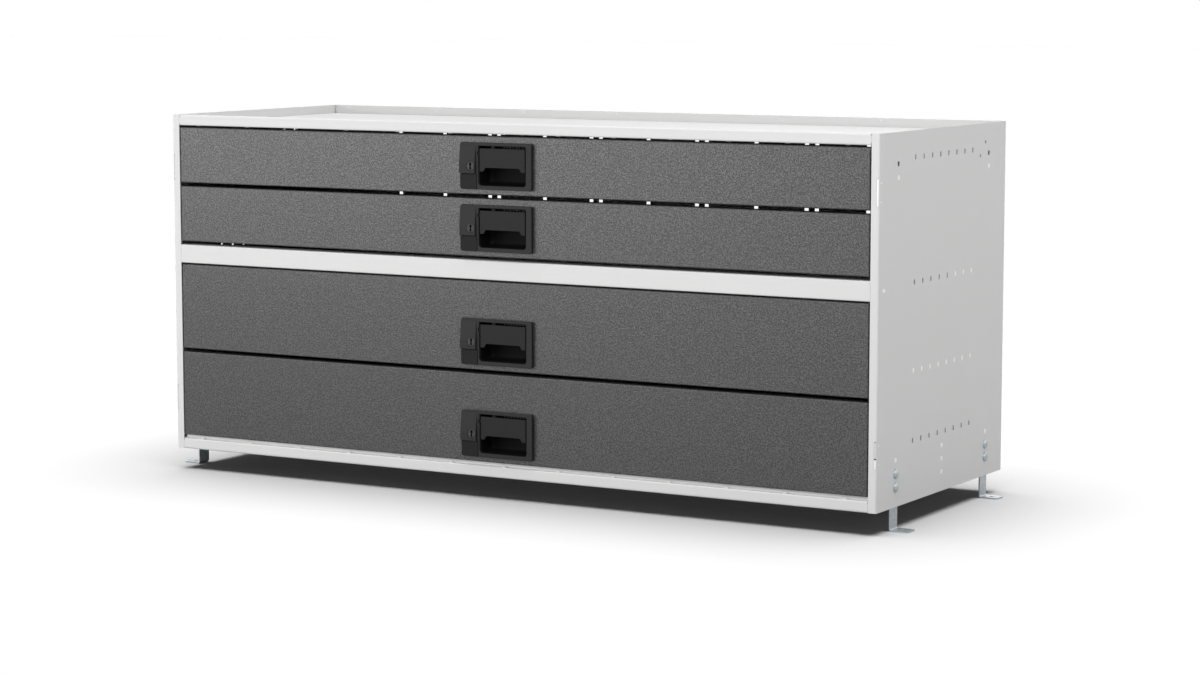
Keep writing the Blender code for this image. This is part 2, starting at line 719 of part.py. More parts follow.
def make_foot(name, side, setback, material):
    plate_top = FOOT_STRAP_SHEET - FOOT_DROP
    tip = HALF_WIDTH + FOOT_REACH
    path = (
        (side * SEATED_HALF, FOOT_STRAP_TOP),
        (side * SEATED_HALF, plate_top),
        (side * tip, plate_top),
    )
    half = FOOT_STRAP_WIDTH / 2
    inner = (side * (SEATED_HALF - FOOT_STRAP_SHEET), FOOT_STRAP_TOP)
    mesh_data = folded_mesh(name, path, -half, half, inner)
    round_foot_corners(mesh_data, side * tip)
    foot = make_object(name, mesh_data, CARCASS, (0, setback, 0), ALONG_Y)
    round_bends(foot, FOOT_BEND_RADIUS, SMALL_STEPS)
    thicken(foot, FOOT_STRAP_SHEET)
    shape = bmesh.new()
    centre = side * (SEATED_HALF + tip) / 2
    add_rod(shape, FOOT_HOLE_RADIUS, 2 * CUT_OVERRUN, LOCK_SIDES, "Z", (centre, setback, plate_top))
    for row in range(2):
        place = (side * SEATED_HALF, setback, BOLT_LOW_HEIGHT + row * BOLT_PITCH)
        add_rod(shape, FOOT_HOLE_RADIUS, 2 * CUT_OVERRUN, BOLT_SIDES, "X", place)
    cut(foot, make_helper(name + "_holes", mesh_from(shape, name + "_holes"), CARCASS))
    paint(foot, material)


def round_foot_corners(mesh_data, tip):
    shape = bmesh.new()
    shape.from_mesh(mesh_data)
    ends = [vert for vert in shape.verts if abs(vert.co.x - tip) < SEAT_GAP]
    bmesh.ops.bevel(
        shape,
        geom=ends,
        offset=FOOT_CORNER_RADIUS,
        segments=BEND_STEPS,
        profile=0.5,
        affect="VERTICES",
    )
    shape.to_mesh(mesh_data)
    shape.free()


def bolt_profile():
    """Half section of the head and shank, from the top of the dome down."""
    grip = PANEL_SHEET + 3 * SEAT_GAP + FOOT_STRAP_SHEET + NUT_THICKNESS
    points = []
    for step in range(BEND_STEPS + 1):
        angle = math.pi / 2 * step / BEND_STEPS
        points.append((BOLT_HEAD_RADIUS * math.sin(angle), BOLT_HEAD_HEIGHT * math.cos(angle)))
    points.append((BOLT_SHANK_RADIUS, 0))
    points.append((BOLT_SHANK_RADIUS, -grip - BOLT_TAIL))
    points.append((0, -grip - BOLT_TAIL))
    return points


def make_bolt(name, side, setback, height, material):
    shape = bmesh.new()
    row = [shape.verts.new((x, 0, z)) for x, z in bolt_profile()]
    for first, second in zip(row, row[1:]):
        shape.edges.new((first, second))
    place = (side * (HALF_WIDTH + SEAT_GAP), setback, height)
    turned = (0, side * math.pi / 2, 0)
    bolt = make_object(name, mesh_from(shape, name), CARCASS, place, turned)
    spin = bolt.modifiers.new("turn", "SCREW")
    spin.axis = "Z"
    spin.steps = BOLT_SIDES
    spin.render_steps = BOLT_SIDES
    spin.use_merge_vertices = True
    spin.merge_threshold = SEAT_GAP / 10
    nut_top = -(PANEL_SHEET + 3 * SEAT_GAP + FOOT_STRAP_SHEET)
    nut = bmesh.new()
    centre = (0, 0, nut_top - NUT_THICKNESS / 2)
    add_rod(nut, NUT_ACROSS_CORNERS / 2, NUT_THICKNESS, 6, "Z", centre)
    join(bolt, make_helper(name + "_nut", mesh_from(nut, name + "_nut"), CARCASS, place, turned))
    paint(bolt, material)


def runner_outline(side):
    """Section of the fixed runner and the bracket that carries it, in X and Z."""
    sheet = RUNNER_SHEET
    half = RUNNER_HALF_HEIGHT
    upper = (
        (RUNNER_TIP, half - sheet),
        (RUNNER_TIP, half),
        (SEATED_HALF - sheet, half),
        (SEATED_HALF - sheet, half + RUNNER_LIP),
        (SEATED_HALF, half + RUNNER_LIP),
        (SEATED_HALF, half - sheet),
        (RUNNER_WEB, half - sheet),
    )
    lower = tuple((x, -z) for x, z in reversed(upper))
    inner = ((RUNNER_WEB - sheet, sheet - half), (RUNNER_WEB - sheet, half - sheet))
    return [(side * x, z) for x, z in upper + lower + inner]


def slider_outline(side):
    """Section of the sliding channel on the drawer box, in X and Z."""
    sheet = RUNNER_SHEET
    half = RUNNER_HALF_HEIGHT - sheet - SEAT_GAP
    root = BOX_HALF + SEAT_GAP
    tip = RUNNER_WEB - sheet - RUNNER_NESTING_GAP
    upper = ((root + sheet, half - sheet), (tip, half - sheet), (tip, half), (root, half))
    lower = tuple((x, -z) for x, z in reversed(upper))
    return [(side * x, z) for x, z in upper + lower]


def make_runner(name, side, base, height, material):
    mesh_data = outline_mesh(name, runner_outline(side), RUNNER_LENGTH)
    place = (0, RUNNER_SETBACK + RUNNER_LENGTH / 2, base + height)
    runner = make_object(name, mesh_data, CARCASS, place, ALONG_Y)
    paint(runner, material)


def make_slider(name, side, height, drawer, material):
    mesh_data = outline_mesh(name, slider_outline(side), SLIDER_LENGTH)
    place = (0, RUNNER_SETBACK + SLIDER_LENGTH / 2, height)
    slider = make_object(name, mesh_data, drawer, place, ALONG_Y)
    paint(slider, material)


def bar_guide(side):
    """A block welded behind the front, which carries one end of the latch bar."""
    middle = side * (FRONT_HALF - GUIDE_INSET)
    top = BAR_HEIGHT - BAR_RADIUS - SEAT_GAP
    low = (middle - GUIDE_WIDTH / 2, DRAWER_SHEET / 2, top - GUIDE_HEIGHT)
    high = (middle + GUIDE_WIDTH / 2, BAR_SETBACK + BAR_RADIUS, top)
    return low, high


def make_drawer_front(number, front_height, drawer, material):
    name = f"drawer_front_{number}"
    low = (-FRONT_HALF, 0, 0)
    high = (FRONT_HALF, FRONT_DEPTH, front_height)
    front = make_object(name, open_box_mesh(name, low, high, BACKWARDS), drawer)
    round_bends(front, FRONT_BEND_RADIUS, SMALL_STEPS)
    thicken(front, DRAWER_SHEET)
    low = (WINDOW_LOW_X - BODY_CLEARANCE, -CUT_OVERRUN, WINDOW_LOW_Z - BODY_CLEARANCE)
    high = (WINDOW_HIGH_X + BODY_CLEARANCE, CUT_OVERRUN, WINDOW_HIGH_Z + BODY_CLEARANCE)
    window = block_mesh(name + "_window", low, high)
    cut(front, make_helper(name + "_window", window, drawer))
    for label, side in SIDES:
        guide_name = f"{name}_guide_{label}"
        guide = block_mesh(guide_name, *bar_guide(side))
        join(front, make_helper(guide_name, guide, drawer))
    paint(front, material)


def make_drawer_box(number, box_height, drawer, material):
    name = f"drawer_box_{number}"
    low = (-BOX_HALF, BOX_SETBACK, BOX_FLOOR_HEIGHT)
    high = (BOX_HALF, BOX_SETBACK + BOX_LENGTH, BOX_FLOOR_HEIGHT + box_height)
    box = make_object(name, open_box_mesh(name, low, high, UPWARDS), drawer)
    round_bends(box, BOX_BEND_RADIUS, SMALL_STEPS)
    thicken(box, DRAWER_SHEET)
    low = (WINDOW_LOW_X - BODY_CLEARANCE, BOX_SETBACK - CUT_OVERRUN, WINDOW_LOW_Z - BODY_CLEARANCE)
    high = (WINDOW_HIGH_X + BODY_CLEARANCE, BOX_SETBACK + CUT_OVERRUN, WINDOW_HIGH_Z + BODY_CLEARANCE)
    window = block_mesh(name + "_window", low, high)
    cut(box, make_helper(name + "_window", window, drawer))
    paint(box, material)


def rounded_plate(name, low, high):
    """The latch frame: a plate with round corners and a softened front edge."""
    shape = bmesh.new()
    add_block(shape, low, high)
    corners = [edge for edge in shape.edges if abs(edge.verts[0].co.y - edge.verts[1].co.y) > SEAT_GAP]
    bmesh.ops.bevel(
        shape,
        geom=corners,
        offset=LATCH_CORNER_RADIUS,
        segments=BEND_STEPS,
        profile=0.5,
        affect="EDGES",
    )
    rim = [edge for edge in shape.edges if max(vert.co.y for vert in edge.verts) < low[1] + SEAT_GAP]
    bmesh.ops.bevel(
        shape,
        geom=rim,
        offset=LATCH_EDGE_RADIUS,
        segments=1,
        profile=0.5,
        affect="EDGES",
    )
    return mesh_from(shape, name)


def bulge_outline():
    """Side section of the lock's raised cover, in Y and Z."""
    step = LATCH_BASE + BULGE_BASE
    top = LATCH_BASE + LATCH_HEIGHT - BULGE_TOP_DROP
    root = -LATCH_PROUD / 2
    return [
        (root, step),
        (-BULGE_PROUD, step),
        (-BULGE_PROUD, step + BULGE_FLAT),
        (-LATCH_PROUD, top),
        (root, top),
    ]


def housing_blocks():
    """The parts of the housing behind the frame: finger cup, lock barrel, cradles."""
    front = -LATCH_PROUD / 2
    cup = (
        (CUP_LOW_X - CUP_WALL, front, WINDOW_LOW_Z),
        (WINDOW_HIGH_X, CUP_DEPTH + CUP_WALL, WINDOW_HIGH_Z),
    )
    lock_half = LOCK_RADIUS + SEAT_GAP + CUP_WALL
    barrel = (
        (WINDOW_LOW_X, front, LOCK_AXIS_HEIGHT - lock_half),
        (CUP_LOW_X - CUP_WALL / 2, LOCK_BLOCK_BACK, LOCK_AXIS_HEIGHT + lock_half),
    )
    pairs = [cup, barrel]
    for edge in (-CRADLE_LEFT, CRADLE_RIGHT - CRADLE_WIDTH):
        low = (edge, BAR_SETBACK - CRADLE_DEPTH / 2, WINDOW_HIGH_Z - CUP_WALL / 2)
        high = (
            edge + CRADLE_WIDTH,
            BAR_SETBACK + CRADLE_DEPTH / 2,
            BAR_HEIGHT - BAR_RADIUS - SEAT_GAP,
        )
        pairs.append((low, high))
    return pairs


def cup_cavity(name):
    """The finger cup's hollow, with its lower corners rounded."""
    shape = bmesh.new()
    low = (CUP_LOW_X, -LATCH_PROUD - CUT_OVERRUN, CUP_LOW_Z)
    high = (CUP_HIGH_X, CUP_DEPTH, CUP_HIGH_Z)
    add_block(shape, low, high)
    lower = [
        edge
        for edge in shape.edges
        if max(vert.co.z for vert in edge.verts) < CUP_LOW_Z + SEAT_GAP
        and abs(edge.verts[0].co.x - edge.verts[1].co.x) < SEAT_GAP
    ]
    bmesh.ops.bevel(
        shape,
        geom=lower,
        offset=CUP_CORNER_RADIUS,
        segments=BEND_STEPS,
        profile=0.5,
        affect="EDGES",
    )
    return mesh_from(shape, name)


def housing_cuts():
    """Room for the lock, the paddle's trunnions and its tail, and two seams."""
    shape = bmesh.new()
    length = LOCK_BLOCK_BACK + BULGE_PROUD + 2 * CUT_OVERRUN
    middle = (LOCK_BLOCK_BACK - BULGE_PROUD) / 2
    place = (-LOCK_LEFT, middle, LOCK_AXIS_HEIGHT)
    add_rod(shape, LOCK_RADIUS + SEAT_GAP, length, LOCK_SIDES, "Y", place)
    return shape


def socket_cuts():
    shape = bmesh.new()
    reach = TRUNNION_LENGTH + TRUNNION_CLEARANCE
    low = CUP_LOW_X + PADDLE_LEFT_GAP - reach
    high = CUP_HIGH_X - PADDLE_RIGHT_GAP + reach
    place = ((low + high) / 2, PIVOT_SETBACK, PIVOT_HEIGHT)
    radius = TRUNNION_RADIUS + TRUNNION_CLEARANCE
    add_rod(shape, radius, high - low, BAR_SIDES, "X", place)
    return shape


def tail_slot_and_seams():
    half = TAIL_WIDTH / 2 + TAIL_ROOM
    top = WINDOW_HIGH_Z + CUT_OVERRUN
    slot = (
        (-TAIL_CENTRE_LEFT - half, 0, CUP_HIGH_Z - CUP_WALL / 2),
        (-TAIL_CENTRE_LEFT + half, BAR_SETBACK + TAIL_RISE, top),
    )
    seam_x = CUP_LOW_X - CUP_WALL
    step = LATCH_BASE + BULGE_BASE
    upright = (
        (seam_x - SEAM_GROOVE, -LATCH_PROUD - CUT_OVERRUN, LATCH_BASE - CUT_OVERRUN),
        (seam_x, SEAM_GROOVE - LATCH_PROUD, step),
    )
    level = (
        (-LATCH_LEFT - CUT_OVERRUN, -LATCH_PROUD - CUT_OVERRUN, step - SEAM_GROOVE),
        (seam_x - SEAM_GROOVE, SEAM_GROOVE - LATCH_PROUD, step),
    )
    return [slot, upright, level]


def make_housing(number, drawer, material):
    name = f"latch_housing_{number}"
    low = (-LATCH_LEFT, -LATCH_PROUD, LATCH_BASE)
    high = (LATCH_RIGHT, -SEAT_GAP, LATCH_BASE + LATCH_HEIGHT)
    housing = make_object(name, rounded_plate(name, low, high), drawer)
    bulge = outline_mesh(name + "_bulge", bulge_outline(), BULGE_WIDTH)
    place = (BULGE_WIDTH / 2 - LATCH_LEFT, 0, 0)
    join(housing, make_helper(name + "_bulge", bulge, drawer, place, ALONG_X))
    for index, (start, end) in enumerate(housing_blocks()):
        helper_name = f"{name}_block_{index}"
        join(housing, make_helper(helper_name, block_mesh(helper_name, start, end), drawer))
    cut(housing, make_helper(name + "_cup", cup_cavity(name + "_cup"), drawer))
    bore = mesh_from(housing_cuts(), name + "_bore")
    cut(housing, make_helper(name + "_bore", bore, drawer))
    sockets = mesh_from(socket_cuts(), name + "_sockets")
    cut(housing, make_helper(name + "_sockets", sockets, drawer))
    for index, (start, end) in enumerate(tail_slot_and_seams()):
        helper_name = f"{name}_cut_{index}"
        cut(housing, make_helper(helper_name, block_mesh(helper_name, start, end), drawer))
    paint(housing, material)


def paddle_outline():
    """Front view of the paddle about its pivot: a plate with a finger notch below."""
    left = CUP_LOW_X + PADDLE_LEFT_GAP
    right = CUP_HIGH_X - PADDLE_RIGHT_GAP
    top = PIVOT_DROP
    bottom = PIVOT_DROP - PADDLE_HEIGHT
    notch = bottom + PADDLE_NOTCH_HEIGHT
    return [
        (left, top),
        (left, bottom),
        (left + PADDLE_LEG_WIDTH, bottom),
        (left + PADDLE_LEG_WIDTH + PADDLE_NOTCH_SLOPE, notch),
        (right - PADDLE_LEG_WIDTH - PADDLE_NOTCH_SLOPE, notch),
        (right - PADDLE_LEG_WIDTH, bottom),
        (right, bottom),
        (right, top),
    ]


def make_paddle(number, drawer, material):
    name = f"paddle_{number}"
    pivot = make_empty(f"paddle_pivot_{number}", drawer, (0, PIVOT_SETBACK, PIVOT_HEIGHT))
    face = -LATCH_PROUD + PADDLE_SET_IN - PIVOT_SETBACK
    plate = outline_mesh(name, paddle_outline(), PADDLE_SHEET)
    turn_upright(plate, face + PADDLE_SHEET / 2)
    paddle = make_object(name, plate, pivot)
    left = CUP_LOW_X + PADDLE_LEFT_GAP
    right = CUP_HIGH_X - PADDLE_RIGHT_GAP
    shape = bmesh.new()
    add_rod(shape, HUB_RADIUS, right - left, BAR_SIDES, "X", ((left + right) / 2, 0, 0))
    join(paddle, make_helper(name + "_hub", mesh_from(shape, name + "_hub"), pivot))
    shape = bmesh.new()
    length = right - left + 2 * TRUNNION_LENGTH
    add_rod(shape, TRUNNION_RADIUS, length, BAR_SIDES, "X", ((left + right) / 2, 0, 0))
    join(paddle, make_helper(name + "_trunnions", mesh_from(shape, name + "_trunnions"), pivot))
    tail_front = SEAT_GAP - PIVOT_SETBACK
    low = (-TAIL_CENTRE_LEFT - TAIL_WIDTH / 2, tail_front, 0)
    high = (-TAIL_CENTRE_LEFT + TAIL_WIDTH / 2, tail_front + TAIL_SHEET, TAIL_RISE)
    join(paddle, make_helper(name + "_tail", block_mesh(name + "_tail", low, high), pivot))
    paint(paddle, material)


def turn_upright(mesh_data, setback):
    """Stands a flat outline up, facing -Y, with its middle at the given setback."""
    shape = bmesh.new()
    shape.from_mesh(mesh_data)
    rotation = turn_matrix((1, 0, 0), math.pi / 2)
    bmesh.ops.rotate(shape, cent=(0, 0, 0), matrix=rotation, verts=shape.verts[:])
    bmesh.ops.translate(shape, vec=(0, setback, 0), verts=shape.verts[:])
    shape.to_mesh(mesh_data)
    shape.free()


def make_lock(number, drawer, material):
    name = f"lock_cylinder_{number}"
    place = (-LOCK_LEFT, 0, LOCK_AXIS_HEIGHT)
    shape = bmesh.new()
    length = LOCK_PROUD + LOCK_BACK
    add_rod(shape, LOCK_RADIUS, length, LOCK_SIDES, "Y", (0, LOCK_BACK - length / 2, 0))
    lock = make_object(name, mesh_from(shape, name), drawer, place)
    smooth(lock)
    low = (-KEYWAY_WIDTH / 2, -LOCK_PROUD - CUT_OVERRUN, -KEYWAY_HEIGHT / 2)
    high = (KEYWAY_WIDTH / 2, KEYWAY_DEPTH - LOCK_PROUD, KEYWAY_HEIGHT / 2)
    keyway = block_mesh(name + "_keyway", low, high)
    cut(lock, make_helper(name + "_keyway", keyway, drawer, place))
    low = (-CAM_WIDTH / 2, LOCK_BACK - CAM_SHEET / 2, -CAM_WIDTH / 2)
    high = (CAM_WIDTH / 2, LOCK_BACK + CAM_SHEET / 2, CAM_REACH)
    cam = block_mesh(name + "_cam", low, high)
    join(lock, make_helper(name + "_cam", cam, drawer, place))
    paint(lock, material)


def hook_outline():
    """Side view of a hook about the bar's axis: down, back, and a nose."""
    half = HOOK_BAR / 2
    floor = -HOOK_DROP
    return [
        (-half, half),
        (-half, floor),
        (HOOK_REACH - HOOK_NOSE_WIDTH, floor),
        (HOOK_REACH - HOOK_NOSE_WIDTH, floor - HOOK_NOSE_DROP),
        (HOOK_REACH, floor - HOOK_NOSE_DROP),
        (HOOK_REACH, floor + HOOK_BAR),
        (half, floor + HOOK_BAR),
        (half, half),
    ]


def make_latch_bar(number, drawer, material):
    name = f"latch_bar_{number}"
    axis = make_empty(f"latch_bar_axis_{number}", drawer, (0, BAR_SETBACK, BAR_HEIGHT))
    shape = bmesh.new()
    add_rod(shape, BAR_RADIUS, 2 * HOOK_OUTER, BAR_SIDES, "X", (0, 0, 0))
    bar = make_object(name, mesh_from(shape, name), axis)
    smooth(bar)
    for label, side in SIDES:
        hook = outline_mesh(f"{name}_hook_{label}", hook_outline(), HOOK_SHEET)
        place = (side * (HOOK_OUTER - HOOK_SHEET / 2), 0, 0)
        join(bar, make_helper(f"{name}_hook_{label}", hook, axis, place, ALONG_X))
    front = CRANK_SETBACK - BAR_SETBACK
    low = (-TAIL_CENTRE_LEFT - TAIL_WIDTH / 2, front, -CRANK_DROP)
    high = (-TAIL_CENTRE_LEFT + TAIL_WIDTH / 2, front + CRANK_SHEET, 0)
    crank = block_mesh(name + "_crank", low, high)
    join(bar, make_helper(name + "_crank", crank, axis))
    paint(bar, material)


def make_carcass(paint_white, plating):
    for label, side in SIDES:
        make_side_panel(f"side_panel_{label}", side, paint_white)
    make_back_panel(paint_white)
    make_top_tray(paint_white)
    make_divider_rail(paint_white)
    make_base_pan(paint_white)
    for label, side in SIDES:
        make_foot(f"foot_front_{label}", side, FOOT_SETBACK, plating)
        make_foot(f"foot_rear_{label}", side, FOOT_SETBACK + FOOT_SPACING, plating)
        for end, level, setback, height in foot_bolt_places():
            make_bolt(f"foot_bolt_{end}_{label}_{level}", side, setback, height, plating)


def make_drawer(number, base, heights, colours):
    front_height, box_height, runner_height = heights
    drawer = make_empty(f"drawer_{number}", CARCASS, (0, 0, base))
    make_drawer_front(number, front_height, drawer, colours["front"])
    make_drawer_box(number, box_height, drawer, colours["box"])
    for label, side in SIDES:
        runner_name = f"runner_{number}_{label}"
        make_runner(runner_name, side, base, runner_height, colours["zinc"])
        make_slider(f"slider_{number}_{label}", side, runner_height, drawer, colours["zinc"])
    make_housing(number, drawer, colours["plastic"])
    make_paddle(number, drawer, colours["plastic"])
    make_lock(number, drawer, colours["plastic"])
    make_latch_bar(number, drawer, colours["zinc"])


def make_unit():
    plating = zinc()
    make_carcass(white_paint(), plating)
    colours = {
        "front": hammered_grey(),
        "box": dark_paint(),
        "zinc": plating,
        "plastic": black_plastic(),
    }
    for number, base, *heights in DRAWERS:
        make_drawer(number, base, heights, colours)


BACKWARDS = (0, 1, 0)
UPWARDS = (0, 0, 1)

clear_scene()
PARTS = make_collection("truck_drawer_unit")
CUTTERS = make_collection("cutters")
CARCASS = make_empty("cabinet_front", None, (0, (BULGE_PROUD - BODY_DEPTH) / 2, FOOT_DROP))
make_unit()
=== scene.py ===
# %% [markdown]
# # Dressing a truck drawer unit
# The object is a low steel cabinet that is bolted down in a truck or a van. It has a tray on
# top, two shallow drawers over two deep ones, and a paddle latch with a lock in each drawer.
# The rigid parts come from the CAD model, which is loaded first and never moved. Everything
# below gives these parts their real edges, small pieces and finishes.

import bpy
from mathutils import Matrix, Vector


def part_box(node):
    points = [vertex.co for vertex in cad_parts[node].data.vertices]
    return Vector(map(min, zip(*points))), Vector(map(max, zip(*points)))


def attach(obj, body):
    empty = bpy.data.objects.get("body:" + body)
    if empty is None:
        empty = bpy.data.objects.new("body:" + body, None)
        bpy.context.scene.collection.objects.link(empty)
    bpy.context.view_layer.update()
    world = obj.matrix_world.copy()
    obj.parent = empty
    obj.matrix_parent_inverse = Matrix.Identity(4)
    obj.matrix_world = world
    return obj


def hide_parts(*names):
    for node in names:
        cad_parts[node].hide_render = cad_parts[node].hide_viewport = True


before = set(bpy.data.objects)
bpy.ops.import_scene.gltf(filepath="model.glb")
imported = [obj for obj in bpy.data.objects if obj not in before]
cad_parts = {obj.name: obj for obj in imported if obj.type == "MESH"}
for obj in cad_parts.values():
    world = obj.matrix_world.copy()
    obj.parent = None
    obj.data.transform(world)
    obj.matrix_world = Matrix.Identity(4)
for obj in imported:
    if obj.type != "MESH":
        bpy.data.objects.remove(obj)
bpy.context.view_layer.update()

# %% [markdown]
# The main places are read from the CAD nodes. A drawer's pieces are drawn once, in millimetres
# from the middle of the drawer front's lower edge, and moved to each drawer's height. That is
# how a maker would draw them too: one latch, fitted four times.

# %% Places on the cabinet
import math

import bmesh
import bpy
from mathutils import Matrix, Vector

MM = 0.001
SCENE = bpy.context.scene
DRAWERS = (1, 2, 3, 4)
SIDES = (("left", -1), ("right", 1))
ENDS = ("front", "rear")
FRONT_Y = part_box("top_tray")[0].y
BODY_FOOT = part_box("base_pan")[0].z
HALF_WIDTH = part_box("side_panel_right")[1].x
DRAWER_FOOT = {k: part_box(f"drawer_front_{k}")[0].z for k in DRAWERS}
print("front at y", round(FRONT_Y, 4))
print("drawer edges at z", {k: round(z, 4) for k, z in DRAWER_FOOT.items()})


def on_body(x, y, z):
    """A place in millimetres from the cabinet's front lower edge, in the scene's metres."""
    return Vector((x * MM, FRONT_Y + y * MM, BODY_FOOT + z * MM))


def drawer_shift(number):
    return Matrix.Translation((0, FRONT_Y, DRAWER_FOOT[number]))


def put(name, data):
    """A new object in the scene."""
    thing = bpy.data.objects.new(name, data)
    SCENE.collection.objects.link(thing)
    return thing


# %% [markdown]
# ## Finishes
# The white paint, the nylons and the plugs share one kind of detail: a fine grain that roughens
# the surface, and a slow mottle that keeps a large sheet from looking like flat colour. A shader
# node group holds it once, and each material sets its own sizes. It reads Object coordinates,
# which stay with the piece when a drawer slides, because every piece has its place in its mesh.

# %% A helper for shader groups
def shader_group(name, sizes, outputs):
    """A group that takes a place and some sizes, and gives back masks from zero to one."""
    group = bpy.data.node_groups.new(name, "ShaderNodeTree")
    group.interface.new_socket("Place", in_out="INPUT", socket_type="NodeSocketVector")
    for label, value in sizes.items():
        socket = group.interface.new_socket(label, in_out="INPUT", socket_type="NodeSocketFloat")
        socket.default_value = value
    for label in outputs:
        group.interface.new_socket(label, in_out="OUTPUT", socket_type="NodeSocketFloat")
    return group, group.nodes.new("NodeGroupInput"), group.nodes.new("NodeGroupOutput")


def set_up(tree, kind, settings=None, **values):
    """A new node, with its properties and its plain input values."""
    node = tree.nodes.new(kind)
    for name, value in (settings or {}).items():
        setattr(node, name, value)
    for name, value in values.items():
        node.inputs[name.replace("_", " ")].default_value = value
    return node


# %% The grain and mottle group
def grain_group():
    sizes = {"Grain Scale": 700.0, "Mottle Scale": 9.0}
    group, given, out = shader_group("paint_grain", sizes, ("Grain", "Mottle"))
    fine = set_up(group, "ShaderNodeTexNoise", Detail=2.0, Roughness=0.5)
    slow = set_up(group, "ShaderNodeTexNoise", Detail=3.0, Roughness=0.6)
    for node, scale in ((fine, "Grain Scale"), (slow, "Mottle Scale")):
        group.links.new(given.outputs["Place"], node.inputs["Vector"])
        group.links.new(given.outputs[scale], node.inputs["Scale"])
    group.links.new(fine.outputs["Fac"], out.inputs["Grain"])
    group.links.new(slow.outputs["Fac"], out.inputs["Mottle"])
    return group


PAINT_GRAIN = grain_group()
print("group paint_grain:", len(PAINT_GRAIN.nodes), "nodes")

# %% [markdown]
# The drawer fronts have a hammered paint: small soft blobs about two millimetres across, some
# lighter and some darker, that also stand up and catch the light. Noise gives the irregular
# blobs and smooth Voronoi cells give them their round pools. The dark paint inside the drawers
# is the same family with a finer blob, so this is a group as well.

# %% The hammered texture group
def hammer_group():
    sizes = {"Blob Scale": 430.0, "Pool Share": 0.35}
    group, given, out = shader_group("hammered_texture", sizes, ("Blobs", "Tone"))
    noise = set_up(group, "ShaderNodeTexNoise", Detail=1.5, Roughness=0.55)
    pools = set_up(group, "ShaderNodeTexVoronoi", {"feature": "SMOOTH_F1"}, Smoothness=0.8)
    mix = set_up(group, "ShaderNodeMix", {"data_type": "FLOAT"})
    smooth = {"interpolation_type": "SMOOTHSTEP"}
    contrast = set_up(group, "ShaderNodeMapRange", smooth, From_Min=0.38, From_Max=0.62)
    link = group.links.new
    for node in (noise, pools):
        link(given.outputs["Place"], node.inputs["Vector"])
        link(given.outputs["Blob Scale"], node.inputs["Scale"])
    link(given.outputs["Pool Share"], mix.inputs[0])
    link(noise.outputs["Fac"], mix.inputs[2])
    link(pools.outputs["Distance"], mix.inputs[3])
    link(mix.outputs[0], out.inputs["Blobs"])
    link(mix.outputs[0], contrast.inputs["Value"])
    link(contrast.outputs["Result"], out.inputs["Tone"])
    return group


HAMMERED_TEXTURE = hammer_group()
print("group hammered_texture:", len(HAMMERED_TEXTURE.nodes), "nodes")

# %% [markdown]
# Plated steel shows faint crystals, each a little lighter or darker than the next, and a few
# long handling streaks. Voronoi cells give one value for each crystal. The feet, bolts and
# runners use it large, and the spring wire and the lock use it small.

# %% The plating group
def plating_group():
    sizes = {"Crystal Scale": 260.0, "Streak Scale": 60.0}
    group, given, out = shader_group("plating_crystals", sizes, ("Crystals", "Streaks"))
    cells = set_up(group, "ShaderNodeTexVoronoi", Randomness=1.0)
    streaks = set_up(group, "ShaderNodeTexNoise", Detail=4.0, Roughness=0.6)
    stretch = set_up(group, "ShaderNodeMapping", Scale=(1.0, 1.0, 0.12))
    split = set_up(group, "ShaderNodeSeparateColor")
    link = group.links.new
    link(given.outputs["Place"], cells.inputs["Vector"])
    link(given.outputs["Crystal Scale"], cells.inputs["Scale"])
    link(given.outputs["Place"], stretch.inputs["Vector"])
    link(stretch.outputs["Vector"], streaks.inputs["Vector"])
    link(given.outputs["Streak Scale"], streaks.inputs["Scale"])
    link(cells.outputs["Color"], split.inputs["Color"])
    link(split.outputs[0], out.inputs["Crystals"])
    link(streaks.outputs["Fac"], out.inputs["Streaks"])
    return group


PLATING_CRYSTALS = plating_group()
print("group plating_crystals:", len(PLATING_CRYSTALS.nodes), "nodes")

# %% [markdown]
# A material needs the same few steps each time: a Principled shader, the group with its sizes,
# a colour between two tones, a roughness range and a bump. One helper makes them, and the
# Principled shader itself stays in the material, where the exporter can read it.

# %% Helpers that let a mask lead a value
def colour_between(tree, mask, dark, light, target):
    mix = set_up(tree, "ShaderNodeMix", {"data_type": "RGBA"})
    mix.inputs[6].default_value = (*dark, 1)
    mix.inputs[7].default_value = (*light, 1)
    tree.links.new(mask, mix.inputs[0])
    tree.links.new(mix.outputs[2], target)
    return mix


def range_between(tree, mask, low, high, target):
    spread = set_up(tree, "ShaderNodeMapRange", To_Min=low, To_Max=high)
    tree.links.new(mask, spread.inputs["Value"])
    tree.links.new(spread.outputs["Result"], target)


# %% The helper for a whole finish
def finish(name, group, sizes, colour, roughness, height, metallic=0.0, specular=0.5):
    """Colour is (mask, dark, light), roughness (mask, low, high), height (mask, metres)."""
    material = bpy.data.materials.new(name)
    material.use_nodes = True
    tree = material.node_tree
    shader = tree.nodes["Principled BSDF"]
    shader.inputs["Metallic"].default_value = metallic
    shader.inputs["Specular IOR Level"].default_value = specular
    place = tree.nodes.new("ShaderNodeTexCoord")
    detail = tree.nodes.new("ShaderNodeGroup")
    detail.node_tree = group
    for label, value in sizes.items():
        detail.inputs[label].default_value = value
    tree.links.new(place.outputs["Object"], detail.inputs["Place"])
    colour_between(tree, detail.outputs[colour[0]], *colour[1:], shader.inputs["Base Color"])
    range_between(tree, detail.outputs[roughness[0]], *roughness[1:], shader.inputs["Roughness"])
    bump = set_up(tree, "ShaderNodeBump", Strength=1.0, Distance=height[1])
    tree.links.new(detail.outputs[height[0]], bump.inputs["Height"])
    tree.links.new(bump.outputs["Normal"], shader.inputs["Normal"])
    print("material", name)
    return material


def grey(level):
    return (level, level, level)


